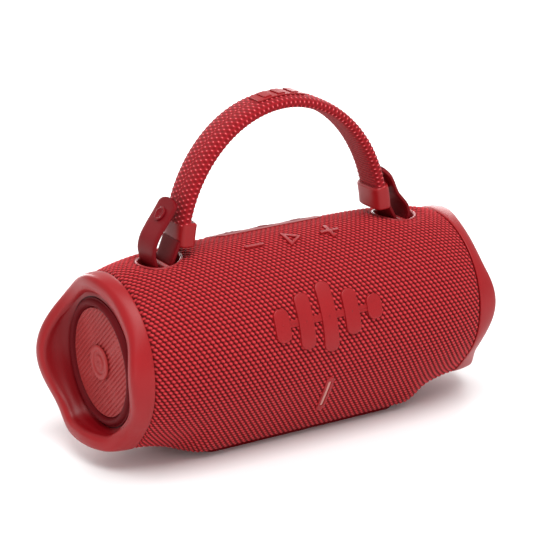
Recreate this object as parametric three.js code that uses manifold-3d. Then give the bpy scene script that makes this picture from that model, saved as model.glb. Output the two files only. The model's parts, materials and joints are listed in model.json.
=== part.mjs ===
// Portable barrel speaker with a carry strap, in millimetres.
// X runs along the barrel, -Y is the front, +Z is up.
// The origin is the middle of the rubber foot's underside.
// Angles round the barrel start at the front, rise over the top (90 degrees) and
// come down the rear (180 degrees) to the bottom (270 degrees).
import * as THREE from 'three';
import { mergeVertices } from 'three/addons/utils/BufferGeometryUtils.js';
import Module from 'manifold-3d';

const wasm = await Module();
wasm.setup();

// ---- Driving dimensions ----
const AXIS_Z = 51.5;            // height of the barrel axis over the floor
const MID_RADIUS = 47;          // barrel radius at mid length
const FABRIC_END_X = 92.6;      // where the fabric meets the end cap
const END_DROP = 5.6;           // how much the radius has shrunk there
const TAPER_POWER = 5.2;
const KEEL_DEPTH = 49.5;        // barrel axis to the fabric's flat underside
const KEEL_END_DEPTH = 42;
const KEEL_HALF_WIDTH = 26;
const WAIST_HALF_WIDTH = 17;
const KEEL_END_X = 57;
const WAIST_X = 77;
const CORNER_SHARPNESS = 20;

const GAP = 0.3;                // clearance between neighbouring pieces
const FABRIC = 1.2;
const HOUSING = 2.6;
const HOUSING_INSET = FABRIC + GAP;
const INNER_RADIUS = MID_RADIUS - HOUSING_INSET - HOUSING;
const PARTING_Y = 6;

const RIM_X = 105.7;             // mean reach of the end caps' rims
const RIM_LEAN = 4.7;            // the rear reaches further than the front
const RIM_DROP = 4.3;            // and the bottom further than the top
const RIM_SKEW = 1.6;
const RIM_OVAL = 1.1;
const RIM_MIN_X = 100.4;
const RIM_EASE = 0.8;            // how softly the rim's dips level out
const RIM_LOBES = 4;
const RIM_LOBE_TURN = Math.PI / 36;
const RIM_LOBE_REACH = 2.2;
const RIM_RADIUS = 40.4;
const RIM_TUCK = 0.9;
const RIM_LOBE_HEIGHT = 0.8;
const RECESS_RADIUS = 32;

const RADIATOR_X = 100;         // front face of a passive radiator
const RADIATOR_Z = AXIS_Z - 1.5;
const RADIATOR_RADIUS = 26.8;

const EYELET_X = 67.5;
const EYELET_RADIUS = 11.6;
const EYELET_WALL = 1.1;
const BAR_RADIUS = 1.6;
const BAR_Z = AXIS_Z + 42.2;

const STRAP_HALF_SPAN = 58.2;
const STRAP_BASE_Z = AXIS_Z + 45;
const STRAP_RISE = 68.2;
const STRAP_WIDTH = 18.4; // at its feet
const STRAP_SPREAD = 2.8; // how much wider the soft strap is at its crown
const STRAP_THICKNESS = 6.4;
const FERRULE_BOTTOM = 5.5;     // heights over the strap's base
const FERRULE_TOP = 17.6;
const LOOP_THICKNESS = 2;
const LOOP_WIDTH = 14.8;

const ICON_ANGLE = 76;
const ICON_SPACING = 21.5;
const ICON_PROUD = 1;
const BUTTON_FOOT_RADIUS = 40.6;
const STRIP_ANGLE = 110;
const STRIP_HALF_LENGTH = 31;
const STRIP_HEIGHT = 19;
const PORT_ANGLE = 205;

const EMBLEM_ANGLE = 20;
const EMBLEM_PROUD = 1.5;
const LIGHT_ANGLE = -33;
const LIGHT_X = 1.5;

const WOOFER_X = -14;
const WOOFER_Y = -31.5;         // front face of its flange
const WOOFER_STRAIGHT = 17;     // half of the straight run of its oval
const TWEETER_X = 47;

const FULL_TURN = Math.PI * 2;
const RINGS_ROUND = 36;

// ---- Materials ----
const finish = (color, roughness, metalness = 0) => () =>
  new THREE.MeshStandardMaterial({ color, roughness, metalness });
const FINISH = {
  knit: finish(0xa3202c, 0.95),
  webbing: finish(0xb32a38, 0.9),
  softRed: finish(0xb8303c, 0.6),
  redPlastic: finish(0xb02a36, 0.5),
  darkPlastic: finish(0x1d1d20, 0.6),
  blackRubber: finish(0x19191b, 0.8),
  redRubber: finish(0x9c2430, 0.75),
  steel: finish(0x9a9ca0, 0.35, 0.9),
  aluminium: finish(0xb4b6ba, 0.4, 0.8),
  board: finish(0x1f5a38, 0.55),
  paper: finish(0x2b2b2e, 0.85),
  copper: finish(0xa8643a, 0.4, 0.8),
  battery: finish(0x2d4a7a, 0.5),
  lens: finish(0xf0ece6, 0.3),
};

const root = new THREE.Group();
root.name = 'barrel_speaker';

function add(name, geometry, makeFinish) {
  const mesh = new THREE.Mesh(facingOut(geometry), makeFinish());
  mesh.name = name;
  root.add(mesh);
}

// ---- Mesh helpers ----
function signedVolume(geometry) {
  const index = geometry.index;
  const corner = [new THREE.Vector3(), new THREE.Vector3(), new THREE.Vector3()];
  let volume = 0;
  for (let i = 0; i < index.count; i += 3) {
    corner.forEach((v, k) => v.fromBufferAttribute(geometry.attributes.position, index.getX(i + k)));
    volume += corner[0].dot(corner[1].cross(corner[2])) / 6;
  }
  return volume;
}

function welded(geometry) {
  const bare = geometry.clone();
  bare.deleteAttribute('normal');
  bare.deleteAttribute('uv');
  return mergeVertices(bare, 1e-4);
}

function facingOut(geometry) {
  const solid = welded(geometry);
  if (signedVolume(solid) < 0) {
    const index = solid.index;
    for (let i = 0; i < index.count; i += 3) {
      const swap = index.getX(i + 1);
      index.setX(i + 1, index.getX(i + 2));
      index.setX(i + 2, swap);
    }
  }
  solid.computeVertexNormals();
  return solid;
}

function toManifold(geometry) {
  const solid = facingOut(geometry);
  return new wasm.Manifold(new wasm.Mesh({
    numProp: 3,
    vertProperties: new Float32Array(solid.attributes.position.array),
    triVerts: new Uint32Array(solid.index.array),
  }));
}

function fromManifold(manifold) {
  const mesh = manifold.getMesh();
  const geometry = new THREE.BufferGeometry();
  geometry.setAttribute('position', new THREE.BufferAttribute(mesh.vertProperties, 3));
  geometry.setIndex(new THREE.BufferAttribute(mesh.triVerts, 1));
  return geometry;
}

function cut(geometry, ...tools) {
  const rest = tools.reduce((left, tool) => left.subtract(toManifold(tool)), toManifold(geometry));
  return fromManifold(rest);
}

function common(first, second) {
  return fromManifold(toManifold(first).intersect(toManifold(second)));
}

function joined(...geometries) {
  return fromManifold(geometries.map(toManifold).reduce((sum, next) => sum.add(next)));
}

function mirroredX(geometry) {
  return geometry.clone().scale(-1, 1, 1);
}

// Rings of [x, y, z] points, each ring closed. The stack of rings either closes on
// itself, as the wall of a tube does, or is capped at both ends. From the ring
// flipFrom on, the other diagonal is used, so that both faces of a wall match.
function loft(rings, closesOnItself, flipFrom = Infinity) {
  const count = rings[0].length;
  const points = rings.flat();
  const faces = [];
  const last = closesOnItself ? rings.length : rings.length - 1;
  for (let i = 0; i < last; i += 1) {
    const next = (i + 1) % rings.length;
    for (let j = 0; j < count; j += 1) {
      const a = i * count + j;
      const b = i * count + ((j + 1) % count);
      const c = next * count + ((j + 1) % count);
      const d = next * count + j;
      faces.push(...(i < flipFrom ? [a, b, c, a, c, d] : [a, b, d, b, c, d]));
    }
  }
  if (!closesOnItself) {
    [0, rings.length - 1].forEach((i) => {
      const centre = points.length;
      points.push([0, 1, 2].map((k) => rings[i].reduce((sum, p) => sum + p[k], 0) / count));
      for (let j = 0; j < count; j += 1) {
        const a = i * count + j;
        const b = i * count + ((j + 1) % count);
        faces.push(...(i === 0 ? [centre, b, a] : [centre, a, b]));
      }
    });
  }
  const geometry = new THREE.BufferGeometry();
  geometry.setAttribute('position', new THREE.Float32BufferAttribute(points.flat(), 3));
  geometry.setIndex(faces);
  return geometry;
}

function box(width, depth, height, x, y, z) {
  return new THREE.BoxGeometry(width, depth, height).translate(x, y, z);
}

function roundedRectangle(width, height, radius) {
  const shape = new THREE.Shape();
  const w = width / 2;
  const h = height / 2;
  shape.moveTo(-w + radius, -h);
  shape.lineTo(w - radius, -h);
  shape.absarc(w - radius, -h + radius, radius, -Math.PI / 2, 0);
  shape.lineTo(w, h - radius);
  shape.absarc(w - radius, h - radius, radius, 0, Math.PI / 2);
  shape.lineTo(-w + radius, h);
  shape.absarc(-w + radius, h - radius, radius, Math.PI / 2, Math.PI);
  shape.lineTo(-w, -h + radius);
  shape.absarc(-w + radius, -h + radius, radius, Math.PI, Math.PI * 1.5);
  return shape;
}

function polygon(points) {
  return new THREE.Shape(points.map(([x, y]) => new THREE.Vector2(x, y)));
}

// A prism through the wall: the shape's x runs along the barrel, its y up the
// surface, and it spans the two given radii.
function radialPrism(shape, x, angle, inner, outer, curveSegments = 3) {
  const a = THREE.MathUtils.degToRad(angle);
  const prism = new THREE.ExtrudeGeometry(shape, {
    depth: outer - inner, bevelEnabled: false, curveSegments,
  });
  prism.translate(0, 0, inner);
  const place = new THREE.Matrix4().makeBasis(
    new THREE.Vector3(1, 0, 0),
    new THREE.Vector3(0, Math.sin(a), Math.cos(a)),
    new THREE.Vector3(0, -Math.cos(a), Math.sin(a)),
  );
  place.setPosition(x, 0, AXIS_Z);
  return prism.applyMatrix4(place);
}

// A profile of [radius, x] points turned about the X direction.
function turnedAboutX(profile, z, segments = 30) {
  const outline = profile.map(([r, x]) => new THREE.Vector2(r, x));
  const closes = profile[0][0] > 0;
  if (closes) outline.push(outline[0].clone());
  return new THREE.LatheGeometry(outline, segments).rotateZ(-Math.PI / 2).translate(0, 0, z);
}

// A profile of [radius, y] points turned about a line along Y.
function turnedAboutY(profile, x, z, segments = 22) {
  const outline = profile.map(([r, y]) => new THREE.Vector2(r, y));
  const closes = profile[0][0] > 0;
  if (closes) outline.push(outline[0].clone());
  return new THREE.LatheGeometry(outline, segments).translate(x, 0, z);
}

// ---- The barrel's cross-section ----
function barrelRadius(x) {
  return MID_RADIUS - END_DROP * Math.abs(x / FABRIC_END_X) ** TAPER_POWER;
}

function keelAt(x) {
  const along = Math.abs(x);
  const toWaist = THREE.MathUtils.smoothstep(along, KEEL_END_X, WAIST_X);
  const toEnd = THREE.MathUtils.smoothstep(along, KEEL_END_X, FABRIC_END_X);
  return {
    halfWidth: THREE.MathUtils.lerp(KEEL_HALF_WIDTH, WAIST_HALF_WIDTH, toWaist) + 2 * toEnd,
    depth: THREE.MathUtils.lerp(KEEL_DEPTH, KEEL_END_DEPTH, toEnd),
  };
}

// The section is round above and has a broad flat keel below. The flanks are
// straight lines from the circle to the keel's corners.
function sectionRadius(x, angle, inset = 0) {
  const radius = barrelRadius(x);
  const down = Math.atan2(-Math.sin(angle), Math.abs(Math.cos(angle)));
  if (down <= 0) return radius - inset;
  const { halfWidth, depth } = keelAt(x);
  const corner = Math.atan2(depth, halfWidth);
  const tangent = corner - Math.acos(radius / Math.hypot(depth, halfWidth));
  const flank = (radius - inset) / Math.cos(Math.max(0, down - tangent));
  const floor = (depth - inset) / Math.sin(down);
  return (flank ** -CORNER_SHARPNESS + floor ** -CORNER_SHARPNESS) ** (-1 / CORNER_SHARPNESS);
}

function sectionRing(x, inset, count = RINGS_ROUND) {
  return Array.from({ length: count }, (_, j) => {
    const angle = (j / count) * FULL_TURN;
    const r = sectionRadius(x, angle, inset);
    return [x, -r * Math.cos(angle), AXIS_Z + r * Math.sin(angle)];
  });
}

function barrelStations(end) {
  const near = [45, KEEL_END_X, 68.5, WAIST_X, 85, end];
  return [...near.map((x) => -x).reverse(), ...near];
}

function barrelWall(end, outerInset, innerInset) {
  const stations = barrelStations(end);
  const outer = stations.map((x) => sectionRing(x, outerInset));
  const inner = stations.reverse().map((x) => sectionRing(x, innerInset));
  return loft([...outer, ...inner], true, outer.length);
}

function barrelSolid(inset, end = FABRIC_END_X) {
  return loft(barrelStations(end).map((x) => sectionRing(x, inset)), false);
}

// ---- Control shapes ----
const ICON_STROKE = 2.4;
const ICON_SIZE = 10.4;

function minusShape(margin = 0) {
  return roundedRectangle(ICON_SIZE + 2 * margin, ICON_STROKE + 2 * margin, 0.6);
}

function plusShape(margin = 0) {
  const s = ICON_STROKE / 2 + margin;
  const l = ICON_SIZE / 2 + margin;
  return polygon([[-s, -l], [s, -l], [s, -s], [l, -s], [l, s], [s, s],
    [s, l], [-s, l], [-s, s], [-l, s], [-l, -s], [-s, -s]]);
}

function playShape(margin = 0) {
  const h = 5.8 + 1.9 * margin;
  const back = -3.6 - margin;
  return polygon([[back, -h], [5.4 + 2.1 * margin, 0], [back, h]]);
}

const TOP_BUTTONS = [
  { name: 'button_volume_down', shape: minusShape, x: -ICON_SPACING },
  { name: 'button_play', shape: playShape, x: 0 },
  { name: 'button_volume_up', shape: plusShape, x: ICON_SPACING },
];

const REAR_BUTTONS = [
  { name: 'button_link', x: -19 },
  { name: 'button_power', x: 0 },
  { name: 'button_pairing', x: 19 },
];

function rearButtonShape(margin = 0) {
  return roundedRectangle(13 + 2 * margin, 9 + 2 * margin, 4.4);
}

function stripShape(margin = 0) {
  return roundedRectangle(2 * (STRIP_HALF_LENGTH + margin), STRIP_HEIGHT + 2 * margin, 6);
}

function portPanelShape(margin = 0) {
  return roundedRectangle(34 + 2 * margin, 15 + 2 * margin, 6);
}

function portHoleShape(margin = 0) {
  return roundedRectangle(9.2 + 2 * margin, 3.4 + 2 * margin, 1.6);
}

function lightShape(margin = 0) {
  return roundedRectangle(4.6 + 2 * margin, 23 + 2 * margin, 2.2);
}

function lensShape(margin = 0) {
  return roundedRectangle(1.6 + 2 * margin, 17 + 2 * margin, 0.7);
}

function footShape(margin = 0) {
  return roundedRectangle(2 * (57 + margin), 2 * (21 + margin), 8);
}

const THROUGH_WALL = [38, 56];
const opening = (shape, x, angle) => radialPrism(shape, x, angle, ...THROUGH_WALL);

function eyeletCylinder(side, radius, low, high, segments = 24) {
  return new THREE.CylinderGeometry(radius, radius, high - low, segments)
    .rotateX(Math.PI / 2).translate(side * EYELET_X, 0, AXIS_Z + (low + high) / 2);
}

function eyeletOpenings() {
  return [-1, 1].map((side) => eyeletCylinder(side, EYELET_RADIUS + GAP, 30, 60));
}

function footPrism(margin, low, high) {
  return new THREE.ExtrudeGeometry(footShape(margin), {
    depth: high - low, bevelEnabled: false, curveSegments: 4,
  }).translate(0, 0, low);
}

// ---- Fabric and housing ----
function fabricCover() {
  const holes = TOP_BUTTONS.map((b) => opening(b.shape(GAP), b.x, ICON_ANGLE));
  holes.push(opening(stripShape(GAP), 0, STRIP_ANGLE));
  holes.push(opening(portPanelShape(GAP), 0, PORT_ANGLE));
  holes.push(opening(lightShape(GAP), LIGHT_X, LIGHT_ANGLE));
  holes.push(footPrism(GAP, -5, 8));
  holes.push(...eyeletOpenings());
  add('fabric_cover', cut(barrelWall(FABRIC_END_X, 0, FABRIC), ...holes), FINISH.knit);
}

function housingWall() {
  const holes = TOP_BUTTONS.map((b) => opening(b.shape(GAP), b.x, ICON_ANGLE));
  holes.push(...REAR_BUTTONS.map((b) => opening(rearButtonShape(GAP), b.x, STRIP_ANGLE)));
  holes.push(opening(portHoleShape(1), 0, PORT_ANGLE));
  holes.push(opening(lensShape(GAP), LIGHT_X, LIGHT_ANGLE));
  holes.push(...eyeletOpenings());
  const wall = barrelWall(FABRIC_END_X - 0.2, HOUSING_INSET, HOUSING_INSET + HOUSING);
  return cut(wall, ...holes);
}

function driverOpenings() {
  const oval = roundedRectangle(74, 38, 19);
  const woofer = radialPrism(oval, WOOFER_X, 0, 30, 60, 8);
  const round = roundedRectangle(19, 19, 9.4);
  return [woofer, radialPrism(round, TWEETER_X, 0, 30, 60, 5)];
}

function housings() {
  const wall = housingWall();
  const far = 400;
  const front = box(far, far, far, 0, PARTING_Y - GAP / 2 - far / 2, 0);
  const rear = box(far, far, far, 0, PARTING_Y + GAP / 2 + far / 2, 0);
  const frontShell = common(wall, front);
  add('housing_front_shell', cut(frontShell, ...driverOpenings()), FINISH.darkPlastic);
  add('housing_rear_shell', common(wall, rear), FINISH.darkPlastic);
}

function foot() {
  const top = AXIS_Z - KEEL_DEPTH + FABRIC;
  add('base_foot', footPrism(0, 0, top), FINISH.redRubber);
}

// ---- End caps ----
// The rim has four raised lobes: front, top, rear and bottom.
function rimPoint(angle) {
  const lobe = Math.cos(RIM_LOBES * (angle - RIM_LOBE_TURN));
  const below = sectionRadius(FABRIC_END_X, angle) / barrelRadius(FABRIC_END_X);
  const reach = RIM_X - RIM_LEAN * Math.cos(angle) - RIM_DROP * Math.sin(angle)
    + RIM_SKEW * Math.sin(2 * angle) + RIM_OVAL * Math.cos(2 * angle) + RIM_LOBE_REACH * lobe;
  return {
    x: RIM_MIN_X + RIM_EASE * Math.log1p(Math.exp((reach - RIM_MIN_X) / RIM_EASE)),
    r: (RIM_RADIUS - RIM_TUCK * Math.cos(angle) + RIM_LOBE_HEIGHT * lobe) * below,
  };
}

function capRing(pick) {
  return Array.from({ length: RINGS_ROUND }, (_, j) => {
    const angle = (j / RINGS_ROUND) * FULL_TURN;
    const rim = rimPoint(angle);
    const { x, r, z = AXIS_Z } = pick(rim, angle);
    return [x, -r * Math.cos(angle), z + r * Math.sin(angle)];
  });
}

function endCap() {
  const start = FABRIC_END_X + GAP;
  const lip = 7.2;
  const throatX = RADIATOR_X - 0.6;
  const skin = (_, angle) => sectionRadius(FABRIC_END_X, angle);
  const blend = (part, bulge) => capRing((rim, angle) => ({
    x: THREE.MathUtils.lerp(start, rim.x - 1.4, part),
    r: THREE.MathUtils.lerp(skin(rim, angle), rim.r, part) + bulge,
  }));
  const throat = (x, r) => capRing(() => ({ x, r, z: RADIATOR_Z }));
  return loft([
    blend(0, 0),
    blend(0.35, 0.5),
    blend(0.7, 0.5),
    blend(1, 0),
    capRing((rim) => ({ x: rim.x - 0.2, r: rim.r - 1.6 })),
    capRing((rim) => ({ x: rim.x, r: rim.r - 3.6 })),
    capRing((rim) => ({ x: rim.x - 0.5, r: rim.r - 5.6 })),
    capRing((rim) => ({
      x: Math.max(rim.x - 2.2, throatX + GAP),
      r: Math.max(rim.r - lip, RECESS_RADIUS + 1.6),
    })),
    throat(throatX, RECESS_RADIUS),
    throat(throatX, 35.3),
    capRing(() => ({ x: start, r: 37 })),
  ], true);
}

function endCaps() {
  add('end_cap_right', endCap(), FINISH.softRed);
  add('end_cap_left', mirroredX(endCap()), FINISH.softRed);
}

// ---- Passive radiators ----
function radiatorFrame() {
  const seat = RADIATOR_X - 1.3;
  return turnedAboutX([[29.5, 86], [36.6, 86], [36.6, 88.5], [34.9, 88.5], [34.9, seat],
    [30.6, seat], [30.6, 90], [29.5, 90]], RADIATOR_Z);
}

function radiatorSurround() {
  const seat = RADIATOR_X - 1;
  return turnedAboutX([[31.6, seat], [31.6, seat + 0.7], [30.9, seat + 0.7], [30.2, seat + 2],
    [28.9, seat + 2.6], [27.6, seat + 2], [27, seat], [25, seat - 0.2], [25, seat - 0.9],
    [27.6, seat - 0.9], [28.1, seat + 1.3], [28.9, seat + 1.8], [29.7, seat + 1.3],
    [30.2, seat]], RADIATOR_Z);
}

function radiatorDiaphragm() {
  const back = RADIATOR_X - 3;
  const disc = turnedAboutX([[0, back], [24.6, back], [24.6, RADIATOR_X - 0.8],
    [RADIATOR_RADIUS - 0.2, RADIATOR_X - 0.6], [RADIATOR_RADIUS - 0.2, RADIATOR_X - 0.2],
    [RADIATOR_RADIUS - 0.7, RADIATOR_X], [0, RADIATOR_X]], RADIATOR_Z, 36);
  const grooves = [-18, -12, -6, 0, 6, 12, 18].map((offset) => {
    const groove = box(1, 80, 1.1, 0, 0, 0).rotateX(Math.PI / 4);
    const shift = offset * Math.SQRT1_2;
    return groove.translate(RADIATOR_X, shift, RADIATOR_Z - shift);
  });
  return cut(disc, ...grooves);
}

function radiatorEmblem() {
  const base = RADIATOR_X + GAP;
  return turnedAboutX([[0, base], [8.5, base], [8.5, base + 0.8], [8.1, base + 1.2],
    [6, base + 1.2], [5.5, base + 0.6], [4.5, base + 0.6], [4, base + 1.2], [0, base + 1.2]],
  RADIATOR_Z, 24);
}

function radiatorWeight() {
  const front = RADIATOR_X - 3 - GAP;
  return turnedAboutX([[0, front - 4], [17.5, front - 4], [18, front - 3.5], [18, front],
    [0, front]], RADIATOR_Z, 24);
}

function radiators() {
  const pieces = [
    ['radiator_frame', radiatorFrame(), FINISH.darkPlastic],
    ['radiator_surround', radiatorSurround(), FINISH.blackRubber],
    ['radiator_diaphragm', radiatorDiaphragm(), FINISH.redPlastic],
    ['radiator_emblem', radiatorEmblem(), FINISH.redPlastic],
    ['radiator_weight', radiatorWeight(), FINISH.steel],
  ];
  pieces.forEach(([name, geometry, makeFinish]) => {
    add(`${name}_right`, geometry, makeFinish);
    add(`${name}_left`, mirroredX(geometry), makeFinish);
  });
}

// ---- Strap and its anchors ----
function eyeletCup() {
  const block = eyeletCylinder(1, EYELET_RADIUS, 34.6, 56);
  const bowl = eyeletCylinder(1, EYELET_RADIUS - EYELET_WALL, 36.4, 58);
  const barHole = new THREE.CylinderGeometry(BAR_RADIUS + 0.25, BAR_RADIUS + 0.25, 60, 14)
    .translate(EYELET_X, 0, BAR_Z);
  return cut(common(block, barrelSolid(-0.3)), bowl, barHole);
}

function anchorBar() {
  const length = 2 * (EYELET_RADIUS - 0.5);
  return new THREE.CylinderGeometry(BAR_RADIUS, BAR_RADIUS, length, 14)
    .translate(EYELET_X, 0, BAR_Z);
}

function strapCentre(t) {
  return new THREE.Vector3(STRAP_HALF_SPAN * Math.cos(t), 0, STRAP_BASE_Z + STRAP_RISE * Math.sin(t));
}

const strapAngle = (height) => Math.asin(height / STRAP_RISE);

// A band whose thickness lies in the XZ plane and whose width lies along Y.
// Each stop is { at, along, thick, wide }.
function band(stops, corners = 12, squareness = 3.2) {
  const rings = stops.map(({ at, along, thick, wide }) => {
    const normal = new THREE.Vector3(along.z, 0, -along.x).normalize();
    return Array.from({ length: corners }, (_, j) => {
      const a = ((j + 0.5) / corners) * FULL_TURN;
      const c = Math.cos(a);
      const s = Math.sin(a);
      const n = Math.sign(c) * Math.abs(c) ** (2 / squareness) * (thick / 2);
      const w = Math.sign(s) * Math.abs(s) ** (2 / squareness) * (wide / 2);
      return [at.x + normal.x * n, w, at.z + normal.z * n];
    });
  });
  return loft(rings, false);
}

function strapStops(from, to, count, thick, wide) {
  return Array.from({ length: count + 1 }, (_, i) => {
    const t = THREE.MathUtils.lerp(from, to, i / count);
    const ahead = strapCentre(t + 0.01).sub(strapCentre(t - 0.01));
    return { at: strapCentre(t), along: ahead, thick, wide };
  });
}

function strapWebbing() {
  const start = strapAngle(FERRULE_TOP + GAP);
  const stops = strapStops(start, Math.PI - start, 22, STRAP_THICKNESS, STRAP_WIDTH);
  stops.forEach((stop) => {
    stop.wide += (STRAP_SPREAD * (stop.at.z - STRAP_BASE_Z)) / STRAP_RISE;
  });
  return band(stops);
}

function strapFerrule() {
  const stops = strapStops(strapAngle(FERRULE_BOTTOM), strapAngle(FERRULE_TOP), 5,
    STRAP_THICKNESS + 3, STRAP_WIDTH + 1.4);
  const ends = [stops[0], stops[stops.length - 1]];
  ends.forEach((stop) => {
    stop.thick -= 2.6;
    stop.wide -= 2.4;
  });
  stops[1].at = strapCentre(strapAngle(FERRULE_BOTTOM + 0.9));
  stops[4].at = strapCentre(strapAngle(FERRULE_TOP - 0.9));
  return band(stops);
}

// The loop leaves the ferrule, passes under the bar and comes up outside it. Its flap lies
// along the strap; the right one is folded closer than the left one.
const LOOP_UNDER_BAR = [[61.4, 50.1], [62.9, 46.5], [64, 43.4], [65, 40.4], [67.5, 39], [70.2, 39.9]];
const LOOP_FLAP = {
  left: [[72.2, 42.6], [73.3, 46], [73.8, 50.4], [72.4, 55.5], [69.2, 60.6], [65.5, 65.6],
    [62.4, 70], [60.3, 73.6]],
  right: [[71.4, 42.4], [71.9, 46], [71.7, 50], [69.9, 54], [67.4, 57.3], [65.3, 60.6],
    [63.9, 64], [62.1, 67.6], [60.5, 71]],
};

function loopCurve(side) {
  const route = [...LOOP_UNDER_BAR, ...LOOP_FLAP[side]];
  return new THREE.CatmullRomCurve3(route.map(([x, z]) => new THREE.Vector3(x, 0, AXIS_Z + z)));
}

const STUD_AT = 0.85;           // how far along the loop the stud sits

function strapLoop(side) {
  const curve = loopCurve(side);
  const count = 22;
  const stops = Array.from({ length: count + 1 }, (_, i) => {
    const u = i / count;
    const tip = Math.max(0, (u - 0.9) / 0.1);
    return {
      at: curve.getPointAt(u), along: curve.getTangentAt(u),
      thick: LOOP_THICKNESS, wide: LOOP_WIDTH - 6 * tip ** 3,
    };
  });
  const hole = studFrame(new THREE.CylinderGeometry(2.3, 2.3, 7, 14), side);
  return cut(band(stops, 12, 5), hole);
}

function studFrame(geometry, side) {
  const curve = loopCurve(side);
  const along = curve.getTangentAt(STUD_AT);
  const outward = new THREE.Vector3(along.z, 0, -along.x);
  const turn = new THREE.Quaternion().setFromUnitVectors(new THREE.Vector3(0, 1, 0), outward);
  const at = curve.getPointAt(STUD_AT);
  return geometry.applyQuaternion(turn).translate(at.x, at.y, at.z);
}

function strapStud(side) {
  const near = LOOP_THICKNESS / 2 + GAP;
  const profile = [[0, -near - 1.8], [3.1, -near - 1.8], [3.5, -near - 1.4], [3.5, -near],
    [2, -near], [2, near], [3.5, near], [3.5, near + 0.6], [3, near + 1], [0, near + 1]];
  const stud = new THREE.LatheGeometry(profile.map(([r, y]) => new THREE.Vector2(r, y)), 16);
  return studFrame(stud, side);
}

// A raised plaque on the crown of the strap with three plain ribs.
function strapEmblem() {
  const lift = STRAP_THICKNESS / 2 + GAP;
  const half = 0.22;
  const layer = (low, high, from, to, wide) => {
    const stops = strapStops(Math.PI / 2 + from, Math.PI / 2 + to, 6, high - low, wide);
    stops.forEach((stop) => {
      const normal = new THREE.Vector3(stop.along.z, 0, -stop.along.x).normalize();
      stop.at.addScaledVector(normal, (low + high) / 2);
    });
    return band(stops, 8, 6);
  };
  const plate = layer(lift, lift + 0.5, -half, half, 10.5);
  const ribs = [-0.12, 0, 0.12].map((c) => layer(lift + 0.3, lift + 1.1, c - 0.035, c + 0.035, 8));
  return joined(plate, ...ribs);
}

function strap() {
  add('strap_webbing', strapWebbing(), FINISH.webbing);
  add('strap_emblem', strapEmblem(), FINISH.softRed);
  const pieces = [
    ['strap_ferrule', strapFerrule, FINISH.softRed],
    ['strap_loop', strapLoop, FINISH.redRubber],
    ['strap_stud', strapStud, FINISH.softRed],
    ['eyelet_cup', eyeletCup, FINISH.redPlastic],
    ['anchor_bar', anchorBar, FINISH.redPlastic],
  ];
  pieces.forEach(([name, makeShape, makeFinish]) => {
    add(`${name}_right`, makeShape('right'), makeFinish);
    add(`${name}_left`, mirroredX(makeShape('left')), makeFinish);
  });
}

// ---- Front emblem and status light ----
// Five rounded bars of different heights, like a level meter, on a thin plate.
function frontEmblem() {
  const inner = MID_RADIUS + GAP;
  const layer = (radius) => new THREE.CylinderGeometry(radius, radius, 90, 64)
    .rotateZ(Math.PI / 2).translate(0, 0, AXIS_Z);
  const plate = radialPrism(roundedRectangle(61, 3.6, 1.7), 0, EMBLEM_ANGLE, 40, 60);
  const heights = [16, 27, 34, 22, 12];
  const bars = heights.map((height, i) => {
    const x = (i - (heights.length - 1) / 2) * 13;
    return radialPrism(roundedRectangle(8.2, height, 3.6), x, EMBLEM_ANGLE, 38, 60);
  });
  const thin = cut(common(plate, layer(inner + 0.7)), layer(inner));
  const tall = bars.map((bar) => cut(common(bar, layer(inner + EMBLEM_PROUD)), layer(inner)));
  return joined(thin, ...tall);
}

function statusLight() {
  const prism = (shape, inner, outer) => {
    return common(radialPrism(shape, LIGHT_X, LIGHT_ANGLE, inner, 60), barrelSolid(-outer));
  };
  const seat = barrelSolid(HOUSING_INSET - GAP);
  const hole = radialPrism(lensShape(GAP), LIGHT_X, LIGHT_ANGLE, 30, 60);
  add('status_light_bezel', cut(prism(lightShape(), 40, 0.6), seat, hole), FINISH.softRed);
  add('status_light_lens', prism(lensShape(), 42.2, 0.2), FINISH.lens);
}

// ---- Buttons, rear strip and port ----
function radialButton(shape, x, angle, proud) {
  return radialPrism(shape, x, angle, BUTTON_FOOT_RADIUS, MID_RADIUS + proud);
}

function controls() {
  TOP_BUTTONS.forEach((b) => {
    add(b.name, radialButton(b.shape(), b.x, ICON_ANGLE, ICON_PROUD), FINISH.softRed);
  });
  REAR_BUTTONS.forEach((b) => {
    const proud = 1.1;
    add(b.name, radialButton(rearButtonShape(), b.x, STRIP_ANGLE, proud), FINISH.redRubber);
  });
  const seat = barrelSolid(HOUSING_INSET - GAP);
  const strip = common(radialPrism(stripShape(), 0, STRIP_ANGLE, 40, 60), barrelSolid(-0.6));
  const holes = REAR_BUTTONS.map((b) => opening(rearButtonShape(GAP), b.x, STRIP_ANGLE));
  add('rear_control_strip', cut(strip, seat, ...holes), FINISH.redRubber);
  const board = (width, height) => roundedRectangle(width, height, 2);
  const top = BUTTON_FOOT_RADIUS - 1.2;
  add('button_board_top', radialPrism(board(62, 15), 0, ICON_ANGLE, top - 1.6, top), FINISH.board);
  add('button_board_rear', radialPrism(board(60, 12), 0, STRIP_ANGLE, top - 1.6, top), FINISH.board);
}

function port() {
  const seat = barrelSolid(HOUSING_INSET - GAP);
  const panel = common(radialPrism(portPanelShape(), 0, PORT_ANGLE, 40, 60), barrelSolid(-0.5));
  const hole = opening(portHoleShape(0.4), 0, PORT_ANGLE);
  add('port_panel', cut(panel, seat, hole), FINISH.redRubber);
  const mouth = MID_RADIUS - 0.4;
  const outside = radialPrism(portHoleShape(), 0, PORT_ANGLE, mouth - 8, mouth, 4);
  const inside = radialPrism(roundedRectangle(8.6, 2.8, 1.3), 0, PORT_ANGLE, mouth - 7.4, 60, 4);
  add('usb_port_shell', cut(outside, inside), FINISH.steel);
  const tongue = radialPrism(roundedRectangle(6.8, 0.7, 0.3), 0, PORT_ANGLE, mouth - 7, mouth - 0.8);
  add('usb_port_tongue', tongue, FINISH.darkPlastic);
}

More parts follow.
